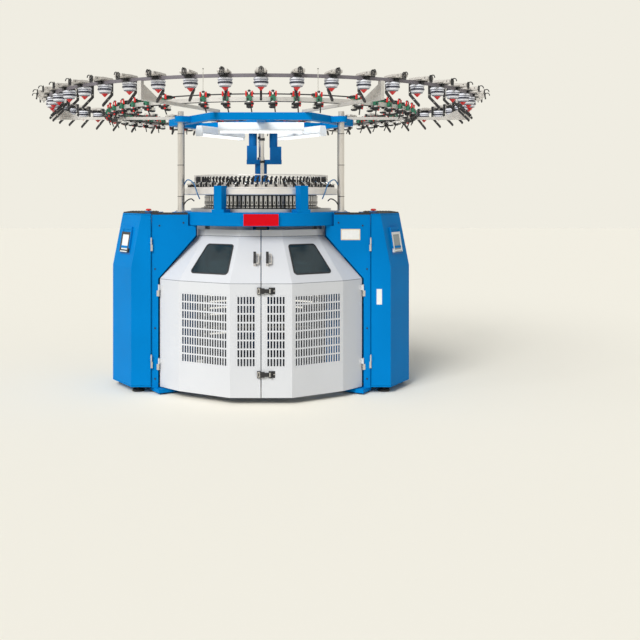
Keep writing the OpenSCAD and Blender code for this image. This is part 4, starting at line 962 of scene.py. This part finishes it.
# Cables on the inner side of the posts: black sleeved cable, which runs up to the lamps. Three
# black plastic clips, snapped round each post, hold it.
POST_R, CABLE_R = .652, .6255
POST_BEARINGS = (-30, 90, 210)
CABLE_LOW, CABLE_HIGH = 1.2545, 1.8795
CLIP_HEIGHTS = (1.36, 1.58, 1.80)
conduit = build("post_conduits", [
    rod(polar(CABLE_R, a, CABLE_LOW), polar(CABLE_R, a, CABLE_HIGH), .0028, 8)
    for a in POST_BEARINGS])
fit(conduit, rubber)
clips = build("post_clips", [
    moved(tube(.0225, .0212, z, z + .004, 32), polar(POST_R, a, 0))
    for a in POST_BEARINGS for z in CLIP_HEIGHTS])
fit(clips, fitting_black)

# Sleeve on the dial shaft above the bridge: a turned ring, blackened, that turns with the
# shaft. A set screw holds it.
sleeve = build("shaft_sleeve", [tube(.0246, .0200, 1.7845, 1.8035, 48)])
fit(sleeve, fitting_black, "dial")

# Bright tube in front of the centre column: chromed steel, held by a black clamp under the top
# frame and by a second one at the hub.
TUBE_X, TUBE_Y = .009, -.0665
front_tube = build("column_tube", [
    rod((TUBE_X, TUBE_Y, 1.4975), (TUBE_X, TUBE_Y, 1.8330), .0135, 24)], smooth=True)
fit(front_tube, chrome)
tube_clamps = build("column_tube_clamps", [
    rod((TUBE_X, TUBE_Y, 1.7700), (TUBE_X, TUBE_Y, 1.7880), .0195, 24),
    block(TUBE_X - .012, TUBE_X + .012, TUBE_Y + .0130, -.0522, 1.6060, 1.6240),
    rod((TUBE_X, TUBE_Y, 1.6060), (TUBE_X, TUBE_Y, 1.6240), .0185, 24),
], bevel=0.0008)
fit(tube_clamps, fitting_black)

# Air lines and cables round the head: thin plastic hose, blue above and black below, pushed on
# nipples at the front posts. They hang in loose curves, the same on both sides.
HOSE_R = .0042
HOSE_HIGH = ((.545, -.310, 1.440), (.515, -.350, 1.478), (.470, -.395, 1.455),
             (.440, -.440, 1.385), (.425, -.415, 1.345))
HOSE_LOW = ((.545, -.315, 1.300), (.520, -.370, 1.330), (.490, -.350, 1.345),
            (.470, -.330, 1.330))
air_blue = plain("air_hose_blue", (0.03, 0.16, 0.36), rough=0.35, coat=0.2)


def hose(points, radius, sides=8, steps=10):
    """Round hose through the points, with a smooth curve between them and closed ends."""
    rails = [Vector(q) for q in (points[0], *points, points[-1])]
    line = []
    for a, b, c, d in zip(rails, rails[1:], rails[2:], rails[3:]):
        for j in range(steps):
            t = j / steps
            line.append(0.5 * (2 * b + (c - a) * t + (2 * a - 5 * b + 4 * c - d) * t * t
                               + (3 * b - a - 3 * c + d) * t * t * t))
    line.append(rails[-2])
    verts = []
    across = Vector((0, 1, 0))
    for k, q in enumerate(line):
        ahead = (line[min(k + 1, len(line) - 1)] - line[max(k - 1, 0)]).normalized()
        across = (across - ahead * across.dot(ahead)).normalized()
        other = ahead.cross(across)
        for u, v, w in circle(1, 0, sides):
            verts.append(tuple(q + (across * u + other * v + ahead * w) * radius))
    return verts, skin_of(len(line), sides)


for name, path, finish, finish_slot in (
    ("head_hoses_blue", HOSE_HIGH, air_blue, "blue_paint"),
    ("head_hoses_black", HOSE_LOW, rubber, "rubber"),
):
    run = build(name, [hose([(side * x, y, z) for x, y, z in path], HOSE_R) for side in (-1, 1)])
    fit(run, finish)

# Edging on top of the side panels, in line with the mats: a dark lip of extruded rubber, pushed
# over the front edge of the sheet.
EDGE_LOW, EDGE_HIGH, EDGE_LONG = 1.2365, 1.2515, .2490
lip = build("mat_edges", [
    block(x, x + EDGE_LONG, -.4216, -.4202, EDGE_LOW, EDGE_HIGH) for x in (-.7565, .5075)])
fit(lip, rubber)

# Thin signal masts on the outer ring: bright wire, pushed into holes of the ring bar. Each has
# a small black moulded knob on its tip.
MAST_R, MAST_LOW, MAST_HIGH = 1.5365, 1.9650, 2.0880
MAST_BEARINGS = (-102.4, -77.8, 60.0, 121.0)
masts = build("signal_masts", [
    rod(polar(MAST_R, a, MAST_LOW), polar(MAST_R, a, MAST_HIGH), .0026, 8)
    for a in MAST_BEARINGS])
fit(masts, bright_wire)
knobs = build("mast_knobs", [
    moved(lathe([(.0018, .0075), (.0036, .0050), (.0036, .0020), (.0018, 0)], 12),
          polar(MAST_R, a, MAST_HIGH - .001)) for a in MAST_BEARINGS])
fit(knobs, fitting_black)

# Name plate on the bed: red enamelled steel, bare, screwed to the front. The two stop buttons
# are moulded red caps that push in.
plate_red = enamel("plate_red_enamel", (0.64, 0.002, 0.010), shine=0.08)
dress(plate_red, "front_plate")
dress(signal_red, "left_stop_button", "right_stop_button")

# Take-down frame, motor and switchgear: castings and folded boxes in grey machine paint. The
# two take-down rollers are steel, covered with ribbed black rubber.
machine_grey = plain("machine_grey_paint", (0.30, 0.31, 0.32), rough=0.5, scale=80.0, bump=0.05)
dress(machine_grey, "takedown_frame", "drive_motor", "control_boxes")
roller_black = plain("knurled_roller_rubber", (0.03, 0.03, 0.032), rough=0.7, scale=700.0,
                     bump=0.3)
dress(roller_black, "front_takedown_roller", "rear_takedown_roller")

# Lamps under the top frame: three white sheet housings, screwed to the frame. Each has two
# glass tubes between moulded white holders. The tubes glow as lamps, and the white enamel of
# the housings and holders has a faint painted glow.
LAMP_R, LAMP_HALF = .350, .288
LAMP_BEARINGS = (-90, 30, 150)
lamp_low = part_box("lamps")[0][2]
lamp_white_painted_glow = plain("lamp_white_enamel_painted_glow", (0.84, 0.87, 0.89), rough=0.35, coat=0.2)
# The faint emission of the white enamel is a painted glow, not a lamp.
put(lamp_white_painted_glow.node_tree.nodes["Principled BSDF"],
    Emission_Color=(0.90, 0.96, 1.0, 1), Emission_Strength=0.06)
dress(lamp_white_painted_glow, "lamps")
tube_glass = plain("lamp_tube_glass", (0.86, 0.88, 0.90), rough=0.3)
put(tube_glass.node_tree.nodes["Principled BSDF"],
    Emission_Color=(0.95, 0.98, 1.0, 1), Emission_Strength=0.75)
tubes = []
for a in LAMP_BEARINGS:
    out, along = Vector(polar(1, a, 0)), Vector(polar(1, a + 90, 0)) * LAMP_HALF
    for offset in (-.016, .016):
        middle = out * (LAMP_R + offset) + Vector((0, 0, lamp_low - .0078))
        tubes.append(rod(tuple(middle - along), tuple(middle + along), .0075, 16))
fit(build("lamp_tubes", tubes), tube_glass)
holders = build("lamp_holders", [
    moved(block(LAMP_R - .027, LAMP_R + .027, end - .007, end + .007,
                lamp_low - .0165, lamp_low - .0002), spin=radians(a))
    for a in LAMP_BEARINGS for end in (-LAMP_HALF - .004, LAMP_HALF + .004)])
fit(holders, lamp_white_painted_glow)
